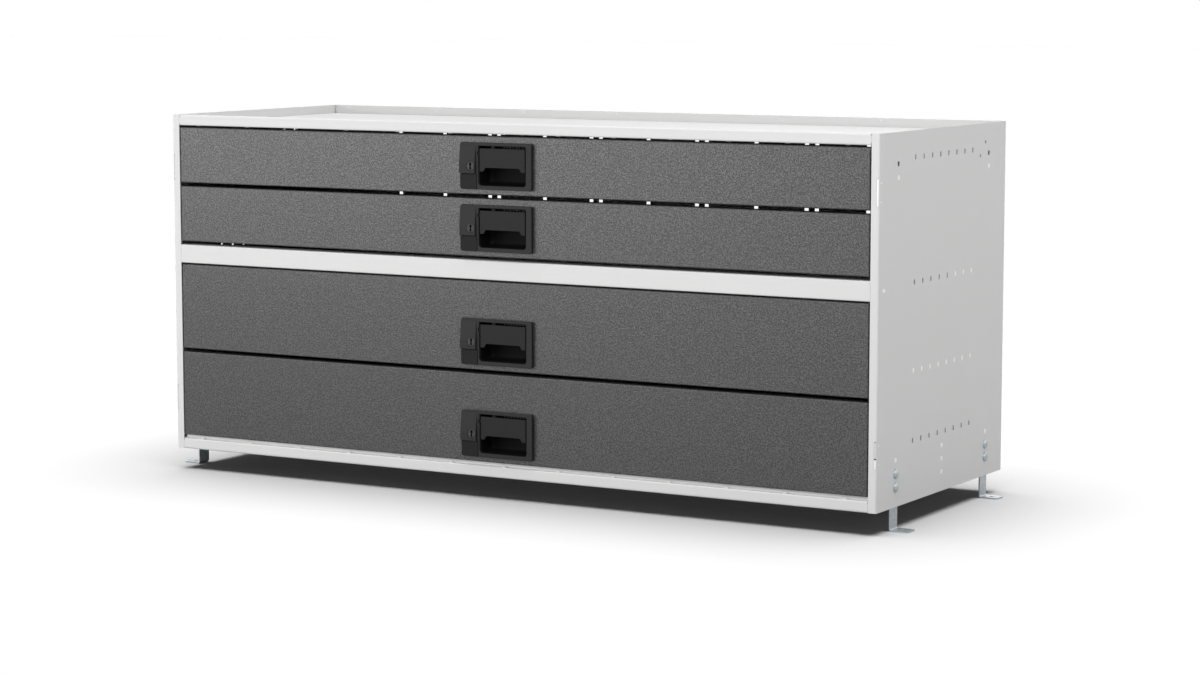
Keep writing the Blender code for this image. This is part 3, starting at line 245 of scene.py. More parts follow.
# %% [markdown]
# The cabinet is folded sheet with a white powder coat. It is nearly plain, with a faint orange
# peel that softens every reflection, and a very slow change of tone over a sheet.

# %% White powder coat
WHITE = finish(
    "white_powder_coat", PAINT_GRAIN, {"Grain Scale": 620.0, "Mottle Scale": 5.0},
    colour=("Mottle", (0.685, 0.685, 0.683), (0.722, 0.722, 0.72)),
    roughness=("Grain", 0.6, 0.74), height=("Grain", 0.00002), specular=0.35,
)

# %% [markdown]
# The drawer fronts are the object's largest surface, so this finish matters most. The tone of
# the blobs and their height come from the same mask, as in real hammered paint, where the
# pigment settles in the hollows. The boxes behind the fronts have a plain dark paint with a
# finer and flatter form of the same texture.

# %% Hammered grey paint and dark box paint
HAMMERED = finish(
    "hammered_grey_paint", HAMMERED_TEXTURE, {"Blob Scale": 470.0, "Pool Share": 0.25},
    colour=("Tone", grey(0.014), grey(0.078)),
    roughness=("Tone", 0.42, 0.31), height=("Blobs", 0.00045),
)
BOX_PAINT = finish(
    "dark_box_paint", HAMMERED_TEXTURE, {"Blob Scale": 900.0, "Pool Share": 0.2},
    colour=("Tone", (0.055, 0.056, 0.058), (0.08, 0.081, 0.083)),
    roughness=("Tone", 0.62, 0.5), height=("Blobs", 0.00006),
)

# %% [markdown]
# The latches are moulded in black nylon, whose mould gives the surface a very fine even grain.
# The paddle and the lower block come from moulds of their own, each a little
# darker and duller than the one before. The finger cup's nylon is darker and duller again: it is
# painted shade for the inside of the deep cup.

# %% Black nylon
def black_nylon(name, dark, light, specular):
    return finish(
        name, PAINT_GRAIN, {"Grain Scale": 2600.0, "Mottle Scale": 30.0},
        colour=("Mottle", grey(dark), grey(light)),
        roughness=("Grain", 0.56, 0.7), height=("Grain", 0.000012), specular=specular,
    )


NYLON = black_nylon("black_moulded_nylon", 0.0105, 0.0145, 0.25)
PADDLE_NYLON = black_nylon("black_paddle_nylon", 0.0085, 0.0115, 0.2)
BLOCK_NYLON = black_nylon("satin_block_nylon", 0.0065, 0.009, 0.16)
# The finger cup's nylon is painted darker, as painted shade for the deep cup's inside.
SHADED_CUP_NYLON = black_nylon("dull_cup_nylon", 0.0035, 0.005, 0.08)

# %% [markdown]
# Feet, bolts, runners and latch bars are zinc plated, with the cool tint that bright zinc has.
# The return springs are bare spring steel, the lock is blackened metal, and the blanking plugs
# in the side panels are natural nylon, a slightly green off-white.

# %% Zinc, spring steel, lock metal and plug nylon
def plated_metal(name, crystal_scale, dark, light, roughness, metallic):
    return finish(
        name, PLATING_CRYSTALS, {"Crystal Scale": crystal_scale, "Streak Scale": 60.0},
        colour=("Crystals", dark, light),
        roughness=("Streaks", *roughness), height=("Streaks", 0.00004), metallic=metallic,
    )


ZINC = plated_metal("bright_zinc", 260.0, (0.345, 0.38, 0.405), (0.44, 0.48, 0.505), (0.25, 0.4), 0.5)
SPRING_STEEL = plated_metal(
    "spring_steel", 1200.0, (0.06, 0.06, 0.062), (0.1, 0.1, 0.102), (0.35, 0.5), 1.0
)
LOCK_METAL = plated_metal(
    "blackened_lock_metal", 900.0, (0.012, 0.012, 0.0125), (0.018, 0.018, 0.0185), (0.5, 0.65), 0.1
)
PLUG_NYLON = finish(
    "natural_plug_nylon", PAINT_GRAIN, {"Grain Scale": 1500.0, "Mottle Scale": 60.0},
    colour=("Mottle", (0.95, 0.955, 0.94), (0.98, 0.985, 0.97)),
    roughness=("Grain", 0.35, 0.5), height=("Grain", 0.00001),
)

# %% [markdown]
# ## Sheet metal
# The folded sheets are right as the CAD has them, but their mesh is made of loose triangles
# with knife edges. A copy is merged, its flat triangles are dissolved, and its edges get a tiny
# bevel, as a deburred and painted edge has. Weighted normals keep the big flats flat while the
# bends are smooth. The copy then stands for the node, which is kept but hidden.

# %% Helpers for meshes and pieces
MERGE_DISTANCE = 0.00001
FLAT_ANGLE = math.radians(0.3)
EDGE_ANGLE = math.radians(50)
SHEET_BEND = 38
MOULDED_BEND = 40


def mesh_from(shape, name):
    """The bmesh as a mesh. The bmesh itself is freed."""
    mesh = bpy.data.meshes.new(name)
    shape.to_mesh(mesh)
    shape.free()
    return mesh


def merged_copy(node):
    shape = bmesh.new()
    shape.from_mesh(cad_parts[node].data)
    bmesh.ops.remove_doubles(shape, verts=shape.verts[:], dist=MERGE_DISTANCE)
    bmesh.ops.dissolve_limit(shape, angle_limit=FLAT_ANGLE, verts=shape.verts[:], edges=shape.edges[:])
    return mesh_from(shape, f"finished_{node}")


def smooth_bends(mesh, degrees):
    """Smooth shading, with every bend above this angle kept sharp."""
    mesh.shade_smooth()
    mesh.set_sharp_from_angle(angle=math.radians(degrees))


def add_piece(name, mesh, material, body, stands_for=()):
    mesh.materials.clear()
    mesh.materials.append(material)
    piece = put(name, mesh)
    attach(piece, body)
    if stands_for:
        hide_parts(*stands_for)
    return piece


def even_out(piece):
    """Weighted normals: large faces decide how the shading runs into a rounded edge."""
    weigh = piece.modifiers.new("even_shading", "WEIGHTED_NORMAL")
    weigh.keep_sharp = True
    weigh.weight = 80


# %% A helper that turns a node into a finished sheet
def finish_node(node, material, body, edge):
    """The node's sheet with its material and with edges rounded by this many millimetres."""
    piece = add_piece(f"finished_{node}", merged_copy(node), material, body, (node,))
    smooth_bends(piece.data, SHEET_BEND)
    bevel = piece.modifiers.new("deburred_edge", "BEVEL")
    bevel.width = edge * MM
    bevel.segments = 2
    bevel.limit_method = "ANGLE"
    bevel.angle_limit = EDGE_ANGLE
    even_out(piece)
    return piece


# %% The white cabinet sheets
SHEET_EDGE = 0.25
BOX_EDGE = 0.2
FOOT_EDGE = 0.3
CABINET_SHEETS = (
    "side_panel_left", "side_panel_right", "back_panel", "top_tray", "divider_rail", "base_pan",
)
for node in CABINET_SHEETS:
    finish_node(node, WHITE, "cabinet", SHEET_EDGE)
print("white sheets:", len(CABINET_SHEETS))

# %% The drawer fronts, boxes and runners
for k in DRAWERS:
    finish_node(f"drawer_front_{k}", HAMMERED, f"drawer_{k}", SHEET_EDGE)
    finish_node(f"drawer_box_{k}", BOX_PAINT, f"drawer_{k}", BOX_EDGE)
    for label, _ in SIDES:
        finish_node(f"runner_{k}_{label}", ZINC, "cabinet", BOX_EDGE)
        finish_node(f"slider_{k}_{label}", ZINC, f"drawer_{k}", BOX_EDGE)
print("drawer fronts, boxes and runner pairs:", len(DRAWERS))

# %% The four feet
foot_nodes = [f"foot_{end}_{label}" for end in ENDS for label, _ in SIDES]
for node in foot_nodes:
    finish_node(node, ZINC, "cabinet", FOOT_EDGE)
print("feet:", len(foot_nodes))

# %% [markdown]
# ## Moulded pieces
# The latch parts are injection moulded: flat plates with soft rims. A filled 2D curve with a
# bevel makes such a plate with all its rims and holes rounded at once, and never leaves a gap,
# which boolean cuts with a bevel after them often do. The curve becomes a mesh before it is
# put in its place.

# %% Outlines for moulded plates
def rounded_loop(corners, radii, steps=6):
    """A closed outline with rounded corners, in millimetres."""
    loop = []
    for index, (corner, radius) in enumerate(zip(corners, radii)):
        here = Vector(corner)
        before = (Vector(corners[index - 1]) - here).normalized()
        after = (Vector(corners[(index + 1) % len(corners)]) - here).normalized()
        if not radius:
            loop.append(here)
            continue
        half = before.angle(after) / 2
        middle = here + (before + after).normalized() * (radius / math.sin(half))
        start = here + before * (radius / math.tan(half)) - middle
        end = here + after * (radius / math.tan(half)) - middle
        sweep = math.atan2(start.x * end.y - start.y * end.x, start.dot(end))
        loop += [middle + Matrix.Rotation(sweep * step / steps, 2) @ start for step in range(steps + 1)]
    return loop


def box_loop(left, low, right, high, radius, steps=6):
    corners = ((left, low), (right, low), (right, high), (left, high))
    return rounded_loop(corners, (radius,) * 4, steps)


def circle_loop(x, z, radius, sides=32):
    turns = [2 * math.pi * index / sides for index in range(sides)]
    return [Vector((x + radius * math.cos(turn), z + radius * math.sin(turn))) for turn in turns]


# %% Plates from outlines
WELD_DISTANCE = 0.000002


def plate(loops, thickness, rim, steps=3):
    """A flat shape with holes and rounded rims, as a closed mesh about the XY plane."""
    curve = bpy.data.curves.new("plate", "CURVE")
    curve.dimensions = "2D"
    curve.fill_mode = "BOTH"
    curve.extrude = (thickness / 2 - rim) * MM
    curve.bevel_depth = rim * MM
    curve.bevel_resolution = steps
    curve.offset = -rim * MM
    for loop in loops:
        spline = curve.splines.new("POLY")
        spline.points.add(len(loop) - 1)
        for point, place in zip(spline.points, loop):
            point.co = (place[0] * MM, place[1] * MM, 0, 1)
        spline.use_cyclic_u = True
    holder = bpy.data.objects.new("plate", curve)
    mesh = evaluated_mesh(holder)
    bpy.data.curves.remove(curve)
    return welded(mesh)


def evaluated_mesh(holder):
    """The object's mesh with its modifiers in it. The object itself is removed."""
    SCENE.collection.objects.link(holder)
    bpy.context.view_layer.update()
    graph = bpy.context.evaluated_depsgraph_get()
    mesh = bpy.data.meshes.new_from_object(holder.evaluated_get(graph), depsgraph=graph)
    bpy.data.objects.remove(holder)
    return mesh


def welded(mesh):
    shape = bmesh.new()
    shape.from_mesh(mesh)
    bmesh.ops.remove_doubles(shape, verts=shape.verts[:], dist=WELD_DISTANCE)
    shape.to_mesh(mesh)
    shape.free()
    return mesh


# %% Turning and joining
def stand_upright(mesh, setback):
    """Turns a plate drawn in X and Y to face the front, its middle at this setback."""
    mesh.transform(Matrix.Translation((0, setback * MM, 0)) @ Matrix.Rotation(math.pi / 2, 4, "X"))
    return mesh


def lay_sideways(mesh, x):
    """Turns a section drawn in Y and Z to run along X, its middle at this x."""
    turn = Matrix(((0, 0, 1, 0), (1, 0, 0, 0), (0, 1, 0, 0), (0, 0, 0, 1)))
    mesh.transform(Matrix.Translation((x * MM, 0, 0)) @ turn)
    return mesh


def joined(name, meshes):
    shape = bmesh.new()
    for mesh in meshes:
        shape.from_mesh(mesh)
    return mesh_from(shape, name)


# %% Rods, blocks and cuts
def soften(shape, edges, rim):
    bmesh.ops.bevel(shape, geom=edges, offset=rim * MM, segments=2, profile=0.5, affect="EDGES")


def rod(radius, left, right, place, sides=24, rim=0.3):
    """A round bar along X at a place in Y and Z, with softened ends."""
    shape = bmesh.new()
    wide = radius * MM
    long = (right - left) * MM
    bmesh.ops.create_cone(shape, cap_ends=True, segments=sides, radius1=wide, radius2=wide, depth=long)
    ends = [edge for edge in shape.edges if abs(edge.verts[0].co.z - edge.verts[1].co.z) < 1e-6]
    soften(shape, ends, rim)
    mesh = mesh_from(shape, "rod")
    middle = ((left + right) / 2 * MM, place[0] * MM, place[1] * MM)
    mesh.transform(Matrix.Translation(middle) @ Matrix.Rotation(math.pi / 2, 4, "Y"))
    return mesh


def soft_block(low, high, rim=0.5):
    """A block with rounded edges between two corners in millimetres."""
    shape = bmesh.new()
    bmesh.ops.create_cube(shape, size=1)
    size = [(b - a) * MM for a, b in zip(low, high)]
    centre = [(b + a) / 2 * MM for a, b in zip(low, high)]
    bmesh.ops.scale(shape, vec=size, verts=shape.verts[:])
    bmesh.ops.translate(shape, vec=centre, verts=shape.verts[:])
    soften(shape, shape.edges[:], rim)
    return mesh_from(shape, "block")


def minus(mesh, *cutters):
    """The mesh with the cutters taken out of it."""
    holder = bpy.data.objects.new("moulding", mesh)
    helpers = []
    for cutter in cutters:
        helper = put("cutter", cutter)
        helpers.append(helper)
        change = holder.modifiers.new("cut", "BOOLEAN")
        change.object = helper
    result = evaluated_mesh(holder)
    for helper in helpers:
        bpy.data.objects.remove(helper)
    return result


# %% A helper that fits drawn pieces to the drawers
def fit_to_drawers(body, slot, *parts, bend=MOULDED_BEND, even=True):
    """Copies of each part at each drawer's height, riding on that drawer's body.

    A part is a name, a model, a material and the kind of CAD node that it stands for, if any.
    """
    for k in DRAWERS:
        for name, model, material, node in parts:
            mesh = model.copy()
            mesh.transform(drawer_shift(k))
            smooth_bends(mesh, bend)
            stands_for = (f"{node}_{k}",) if node else ()
            piece = add_piece(f"{name}_{k}", mesh, material, f"{body}_{k}", stands_for)
            if even:
                even_out(piece)


# %% [markdown]
# ### Latch housing
# The housing is one black moulding: a frame with round corners, a raised wedge on the left that
# carries the lock, a plain lower block beside it, and a deep finger cup. Its visible seams are
# real gaps between plates that lie on a thinner backing plate. The frame has a small notch
# beside the paddle's pivot.

# %% Places on the latch
# A rectangle is given as left, low, right and high.
LATCH = (-69.2, 7.9, 52.6, 76.3)
WINDOW = (-37.7, 13.6, 43.0, 71.5)
PADDLE = (-36.2, 33.9, 41.0, 68.0)
LOCK_PLACE = (-49.8, 41.9)
LOCK_HOLE = 7.4
LOCK_BORE = 7.3
# The pivots lie along X, at a setback behind the front and a height.
PADDLE_PIN = (0.5, 64.0)
BAR_PLACE = (7.0, 80.0)
# The seam between the frame and the lower block.
SEAM_LEFT, SEAM_RIGHT = -40.8, -40.2
BLOCK_TOP, STEP_HEIGHT = 30.3, 30.9
FRAME_THICKNESS = 3.5
FRAME_MIDDLE = -4.25


# %% The housing's frame, lower block and backing plate
def window_loop(notch=True):
    left, low, right, high = WINDOW
    corners = [(left, low), (right, low), (right, high), (left, high)]
    radii = [5.0, 5.0, 1.4, 1.4]
    if notch:
        corners += [(left, 63.3), (left - 1.9, 62.7), (left - 1.9, 58.3), (left, 57.7)]
        radii += [0, 0.6, 0.6, 0]
    return rounded_loop(corners, radii)


def latch_frame():
    left, low, right, high = LATCH
    corners = (
        (SEAM_RIGHT, low), (right, low), (right, high),
        (left, high), (left, STEP_HEIGHT), (SEAM_RIGHT, STEP_HEIGHT),
    )
    outline = rounded_loop(corners, (0, 3.4, 3.4, 3.4, 0.6, 0))
    loops = [outline, window_loop(), circle_loop(*LOCK_PLACE, LOCK_HOLE)]
    return stand_upright(plate(loops, FRAME_THICKNESS, 0.9), FRAME_MIDDLE)


def lower_block():
    left, low, _, _ = LATCH
    corners = ((left, low), (SEAM_LEFT, low), (SEAM_LEFT, BLOCK_TOP), (left, BLOCK_TOP))
    outline = rounded_loop(corners, (3.4, 0, 0, 0.6))
    return stand_upright(plate([outline], FRAME_THICKNESS, 0.5), FRAME_MIDDLE)


def backing_plate(inset=0.3):
    left, low, right, high = LATCH
    outline = box_loop(left + inset, low + inset, right - inset, high - inset, 3.1)
    loops = [outline, window_loop(False), circle_loop(*LOCK_PLACE, LOCK_HOLE)]
    return stand_upright(plate(loops, 2.9, 0.3, 1), -1.75)


# %% The raised lock cover
def lock_cover():
    """A wedge: full height low down, then falling away to the frame at its top."""
    corners = ((-4.0, 31.0), (-9.3, 31.0), (-9.3, 43.9), (-6.1, 72.9), (-4.0, 72.9))
    section = rounded_loop(corners, (0, 0.7, 6.0, 0.8, 0), 4)
    wedge = lay_sideways(plate([section], 27.0, 0.7, 2), -55.7)
    bore = plate([circle_loop(*LOCK_PLACE, LOCK_BORE)], 20.0, 0.01, 0)
    return minus(wedge, stand_upright(bore, -6.0))


# %% [markdown]
# The finger cup is lofted from rounded outlines that shrink towards the back, as a moulding's
# draft needs, and turn into the rear wall with a soft corner. Solidify gives it its wall on the
# outside. A slot in its roof lets the paddle's tail through to the latch bar.

# %% The finger cup
# Each station is a setback behind the front, and how far the outline has shrunk there.
CUP_STATIONS = ((-1.2, 0.0), (14.0, 0.5), (20.0, 1.0), (23.4, 2.2), (25.2, 4.2), (26.0, 7.0))
CUP_WALL = 2.2


def cup_lining():
    """The inside of the cup, as an open skin."""
    left, low, right, high = WINDOW
    shape = bmesh.new()
    rings = []
    for setback, inset in CUP_STATIONS:
        near, far = left + inset, right - inset
        floor_z, roof_z = low + inset, high - inset
        corners = ((near, floor_z), (far, floor_z), (far, roof_z), (near, roof_z))
        loop = rounded_loop(corners, (5.0, 5.0, 1.6, 1.6))
        rings.append([shape.verts.new((x * MM, setback * MM, z * MM)) for x, z in loop])
    for near, far in zip(rings, rings[1:]):
        for index in range(len(near)):
            after = (index + 1) % len(near)
            shape.faces.new((near[index], near[after], far[after], far[index]))
    shape.faces.new(rings[-1])
    shape.normal_update()
    shape.faces.ensure_lookup_table()
    if shape.faces[-1].normal.y > 0:
        bmesh.ops.reverse_faces(shape, faces=shape.faces[:])
    return mesh_from(shape, "cup")


def cup_shell():
    holder = bpy.data.objects.new("cup", cup_lining())
    wall = holder.modifiers.new("wall", "SOLIDIFY")
    wall.thickness = CUP_WALL * MM
    wall.offset = -1
    tail_slot = soft_block((-22, -0.1, 70.0), (-10, 16.0, 78.0), 0.8)
    sockets = rod(2.3, -39.3, 44.1, PADDLE_PIN, 16, 0.1)
    return minus(evaluated_mesh(holder), tail_slot, sockets)


# %% The housing as one piece for each drawer
def lock_barrel():
    outline = box_loop(-59.6, 32.1, -38.9, 51.7, 2.0)
    return stand_upright(plate([outline, circle_loop(*LOCK_PLACE, LOCK_BORE)], 14.0, 0.4, 1), 6.0)


def bar_cradle(left):
    """A small shelf on the housing's roof, below the latch bar."""
    return soft_block((left, 3.5, 72.9), (left + 6.0, 10.5, 76.7), 0.4)


def latch_housing():
    parts = [latch_frame(), backing_plate(), lock_cover(), lock_barrel()]
    return joined("latch_housing", parts + [bar_cradle(-30.0), bar_cradle(24.0)])


HOUSING_MESH = latch_housing()
fit_to_drawers(
    "drawer", "black_plastic",
    ("moulded_housing", HOUSING_MESH, NYLON, "latch_housing"),
    # The finger cup wears the darker nylon, painted shade for its deep inside.
    ("finger_cup", cup_shell(), SHADED_CUP_NYLON, None),
    ("lower_block", lower_block(), BLOCK_NYLON, None),
)
print("housing:", len(HOUSING_MESH.polygons), "faces")

# %% [markdown]
# ### Paddle
# The paddle is a plate that hangs from trunnions just behind its top edge, with a finger notch
# in its lower edge. The back has a hub, a few ribs and a tail that reaches up to the latch bar.
# The plate is a curve plate again, so the notch's slopes get the same soft rim as the rest.

# %% The paddle
RIB_PLACES = (-28.0, -6.0, 8.0, 22.0, 36.0)


def paddle_mesh():
    left, low, right, high = PADDLE
    notch = low + 5.7
    corners = (
        (left, high), (left, low), (left + 6.2, low), (left + 9.8, notch),
        (right - 9.8, notch), (right - 6.2, low), (right, low), (right, high),
    )
    outline = rounded_loop(corners, (1.2, 0.9, 1.2, 1.5, 1.5, 1.2, 0.9, 1.2), 4)
    face = stand_upright(plate([outline], 3.0, 0.7), -3.5)
    left_hub = rod(3.2, left, -1.0, PADDLE_PIN)
    right_hub = rod(3.2, 38.8, right, PADDLE_PIN)
    pin = rod(2.0, left - 2.8, right + 2.8, PADDLE_PIN, 20, 0.4)
    tail = soft_block((-19.0, -0.2, 63.0), (-13.0, 1.8, 73.0), 0.5)
    ribs = [soft_block((x - 0.7, -2.4, 41.0), (x + 0.7, -0.6, 60.0), 0.3) for x in RIB_PLACES]
    return joined("paddle", [face, left_hub, right_hub, pin, tail] + ribs)


PADDLE_MESH = paddle_mesh()
fit_to_drawers("paddle", "black_plastic", ("moulded_paddle", PADDLE_MESH, PADDLE_NYLON, "paddle"))
print("paddle:", len(PADDLE_MESH.polygons), "faces")

# %% [markdown]
# ### Lock
# A key turns a short cylinder with a cam at its rear end. Its face is a thin plate with a
# keyhole, set into a ring, so the keyhole is a real opening with a dark barrel behind it.

# %% The lock cylinder with its cam
def keyhole_loop(x, z):
    """A round head for the key's shoulder above a slim stem with a wider foot."""
    half = ((1.9, 5.0), (1.9, 1.6), (1.0, 0.8), (1.0, -2.2), (1.6, -2.8), (1.6, -5.0))
    radii = (1.6, 1.1, 0.4, 0.3, 0.4, 1.0)
    corners = [(x - across, z + up) for across, up in half]
    corners += [(x + across, z + up) for across, up in reversed(half)]
    return rounded_loop(corners, radii + radii[::-1], 4)


def lock_mesh():
    x, z = LOCK_PLACE

    def disc(radius):
        return circle_loop(x, z, radius, 40)

    def slab(loops, thickness, rim, steps, setback):
        return stand_upright(plate(loops, thickness, rim, steps), setback)

    cam_corners = ((x - 4, z - 4), (x + 4, z - 4), (x + 4, z + 13), (x - 4, z + 13))
    face = slab([disc(6.1), keyhole_loop(x, z)], 3.4, 0.2, 2, -7.2)
    ring = slab([disc(7.0), disc(6.3)], 3.4, 0.25, 2, -7.25)
    barrel = slab([disc(7.0)], 15.0, 0.3, 1, 7.5)
    sleeve = slab([disc(7.0), disc(6.2)], 6.2, 0.1, 1, -2.9)
    cam = slab([rounded_loop(cam_corners, (3.0, 3.0, 1.5, 1.5))], 2.0, 0.3, 1, 15.0)
    return joined("lock", [face, ring, sleeve, barrel, cam])


LOCK_MESH = lock_mesh()
fit_to_drawers("lock", "black_plastic", ("turned_lock", LOCK_MESH, LOCK_METAL, "lock_cylinder"))
print("lock:", len(LOCK_MESH.polygons), "faces")

# %% [markdown]
# ### Latch bar
# Behind each front a round bar runs from side to side. A crank in its middle is pushed by the
# paddle's tail, and a flat hook at each end then lifts off a stud on the side panel.

# %% The latch bar with its hooks
BAR_END = 581.4
HOOK_THICKNESS = 3.5
HOOK_CORNERS = (
    (-2.5, 2.5), (-2.5, -18.5), (16.0, -18.5), (16.0, -22.0),
    (20.0, -22.0), (20.0, -13.5), (2.5, -13.5), (2.5, 2.5),
)
HOOK_RADII = (2.0, 2.0, 0.5, 0.8, 0.8, 2.5, 1.5, 2.0)


def hook(side):
    corners = [(BAR_PLACE[0] + y, BAR_PLACE[1] + z) for y, z in HOOK_CORNERS]
    outline = rounded_loop(corners, HOOK_RADII, 4)
    middle = BAR_END - HOOK_THICKNESS / 2
    return lay_sideways(plate([outline], HOOK_THICKNESS, 0.4, 2), side * middle)


def latch_bar_mesh():
    bar = rod(3.0, -BAR_END, BAR_END, BAR_PLACE, 20, 0.5)
    crank = soft_block((-19.0, 3.0, 71.0), (-13.0, 5.5, 80.0), 0.5)
    return joined("latch_bar", [bar, crank, hook(-1), hook(1)])


BAR_MESH = latch_bar_mesh()
fit_to_drawers("latch_bar", "zinc", ("turned_latch_bar", BAR_MESH, ZINC, "latch_bar"))
print("latch bar:", len(BAR_MESH.polygons), "faces")

# %% [markdown]
# ## Small pieces that repeat
# Bolts, plugs, tabs and coils all repeat by a rule, so Geometry Nodes make them. Each tree has
# named inputs, and its result is taken as a plain mesh for the body that carries it. The first
# tree puts one small piece on each of a set of points, turned one way.

# %% Helpers for Geometry Nodes
def geometry_tree(name, **inputs):
    """A tree that takes some geometry, these inputs and a material, its finish."""
    tree = bpy.data.node_groups.new(name, "GeometryNodeTree")
    for label, kind in {"Geometry": "Geometry", **inputs, "Finish": "Material"}.items():
        label = label.replace("_", " ")
        tree.interface.new_socket(label, in_out="INPUT", socket_type=f"NodeSocket{kind}")
    tree.interface.new_socket("Geometry", in_out="OUTPUT", socket_type="NodeSocketGeometry")
    return tree, tree.nodes.new("NodeGroupInput"), tree.nodes.new("NodeGroupOutput")


def end_tree(tree, given, out, result):
    """Ends in Realize Instances and Set Material, because the export drops instances."""
    realize = tree.nodes.new("GeometryNodeRealizeInstances")
    finish = tree.nodes.new("GeometryNodeSetMaterial")
    link = tree.links.new
    link(result, realize.inputs["Geometry"])
    link(realize.outputs["Geometry"], finish.inputs["Geometry"])
    link(given.outputs["Finish"], finish.inputs["Material"])
    link(finish.outputs["Geometry"], out.inputs["Geometry"])


def grow(tree, values, places=()):
    """Runs a tree on some points, with its inputs set, and returns the mesh it makes."""
    points = bpy.data.meshes.new("places")
    points.from_pydata([tuple(place) for place in places], [], [])
    holder = bpy.data.objects.new(tree.name, points)
    modifier = holder.modifiers.new("grow", "NODES")
    modifier.node_group = tree
    sockets = [item for item in tree.interface.items_tree if item.in_out == "INPUT"]
    keys = {socket.name: socket.identifier for socket in sockets}
    for label, value in values.items():
        modifier[keys[label]] = value
    mesh = evaluated_mesh(holder)
    bpy.data.meshes.remove(points)
    return mesh


# %% A helper that hands a model to a tree
def grow_with_model(tree, model_mesh, values, places=()):
    """Grows a tree that repeats one piece."""
    model = put("model", model_mesh)
    mesh = grow(tree, {"Piece": model, **values}, places)
    bpy.data.objects.remove(model)
    return mesh


def repeat_piece(tree, given, points):
    """The node that sets the given piece on every point."""
    model = tree.nodes.new("GeometryNodeObjectInfo")
    spread = tree.nodes.new("GeometryNodeInstanceOnPoints")
    tree.links.new(given.outputs["Piece"], model.inputs["Object"])
    tree.links.new(model.outputs["Geometry"], spread.inputs["Instance"])
    tree.links.new(points, spread.inputs["Points"])
    return spread


# %% The tree that puts a piece on points
def on_points_tree():
    tree, given, out = geometry_tree("piece_on_points", Piece="Object", Turn="Vector")
    spread = repeat_piece(tree, given, given.outputs["Geometry"])
    tree.links.new(given.outputs["Turn"], spread.inputs["Rotation"])
    end_tree(tree, given, out, spread.outputs["Instances"])
    return tree


def on_side(model_mesh, side, places, material):
    """Copies of a model that faces +X, turned to face away from the cabinet."""
    turn = (0, 0, 0) if side > 0 else (0, 0, math.pi)
    return grow_with_model(ON_POINTS, model_mesh, {"Turn": turn, "Finish": material}, places)


ON_POINTS = on_points_tree()
print("tree piece_on_points:", len(ON_POINTS.nodes), "nodes")

# %% [markdown]
# ### Foot bolts
# Each foot hangs from two bolts with a low dome outside and a hex nut inside. The bolt is
# turned from a profile with the Spin operator, from the dome to the shank. The nut is a second
# profile with chamfers, spun in six steps, so that its sides are flat.

# %% One bolt and its nut
PROFILE_MERGE = 0.000005
DOME_HEIGHT, DOME_RADIUS = 3.6, 6.9
DOME_TURNS = (0, 0.22, 0.45, 0.7, 0.95, 1.2, 1.4, math.pi / 2)


def turned(profile, sides=28):
    """A closed body of revolution about X, from a profile of x and radius in millimetres."""
    shape = bmesh.new()
    line = [shape.verts.new((x * MM, 0, radius * MM)) for x, radius in profile]
    edges = [shape.edges.new(pair) for pair in zip(line, line[1:])]
    spin = {"cent": (0, 0, 0), "axis": (1, 0, 0), "angle": 2 * math.pi, "steps": sides}
    bmesh.ops.spin(shape, geom=line + edges, use_merge=True, **spin)
    bmesh.ops.remove_doubles(shape, verts=shape.verts[:], dist=PROFILE_MERGE)
    bmesh.ops.recalc_face_normals(shape, faces=shape.faces[:])
    return mesh_from(shape, "turned")


def bolt_with_nut():
    dome = [(DOME_HEIGHT * math.cos(turn), DOME_RADIUS * math.sin(turn)) for turn in DOME_TURNS]
    shank = [(0.0, 3.0), (-11.1, 3.0), (-11.4, 2.6), (-11.4, 0)]
    nut = turned([(-4.4, 0), (-4.4, 4.9), (-4.9, 5.75), (-8.9, 5.75), (-9.4, 4.9), (-9.4, 0)], 6)
    return joined("bolt", [turned(dome + shank), nut])


BOLT_BEND = 35
BOLT_MESH = bolt_with_nut()
smooth_bends(BOLT_MESH, BOLT_BEND)
print("bolt and nut:", len(BOLT_MESH.polygons), "faces")

# %% Eight bolts on the CAD's places
HEAD_GAP = 0.3 * MM
bolt_nodes = []
bolt_meshes = []
for label, side in SIDES:
    names = [f"foot_bolt_{end}_{label}_{level}" for end in ENDS for level in ("lower", "upper")]
    middles = [(low + high) / 2 for low, high in (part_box(name) for name in names)]
    places = [(side * (HALF_WIDTH + HEAD_GAP), middle.y, middle.z) for middle in middles]
    bolt_meshes.append(on_side(BOLT_MESH, side, places, ZINC))
    bolt_nodes += names
bolts = joined("domed_foot_bolts", bolt_meshes)
add_piece("domed_foot_bolts", bolts, ZINC, "cabinet", bolt_nodes)
print("foot bolts:", len(bolt_nodes))

# %% [markdown]
# ### Blanking plugs
# Some of the side panels' holes carry nothing on this unit and are closed with pale plugs. A
# plug is a thin head with a rounded rim. The same tree sets them on both panels.

# %% Where the plugs and rivets sit
# A place is given as its depth behind the front and its height, in millimetres.
SLOT_COLUMNS = [119.3 + 28.6 * index for index in range(8)]
PLUGGED_SLOTS = [(y, 184.9) for y in SLOT_COLUMNS] + [(y, 309.2) for y in SLOT_COLUMNS[5:]]
PLUGGED_SQUARES = (
    (62.5, 457.6), (379.7, 457.6), (62.5, 66.0), (379.7, 66.0),
    (221.1, 66.0), (221.1, 47.0), (221.1, 28.0),
)
PILOT_DOTS = ((6.0, 67.05), (6.0, 93.55), (6.0, 427.05), (6.0, 453.55))
RIVET_DOT = ((17.5, 305.2),)
PANEL_FACE = 600.0


# %% The plugs and rivets
def plug(width, tall, head=0.25, radius=1.0):
    """A plug head that faces +X, its flat middle just proud of the panel."""
    outline = box_loop(-width / 2, -tall / 2, width / 2, tall / 2, radius, 4)
    return lay_sideways(plate([outline], 1.4, 0.25, 2), head - 0.7)


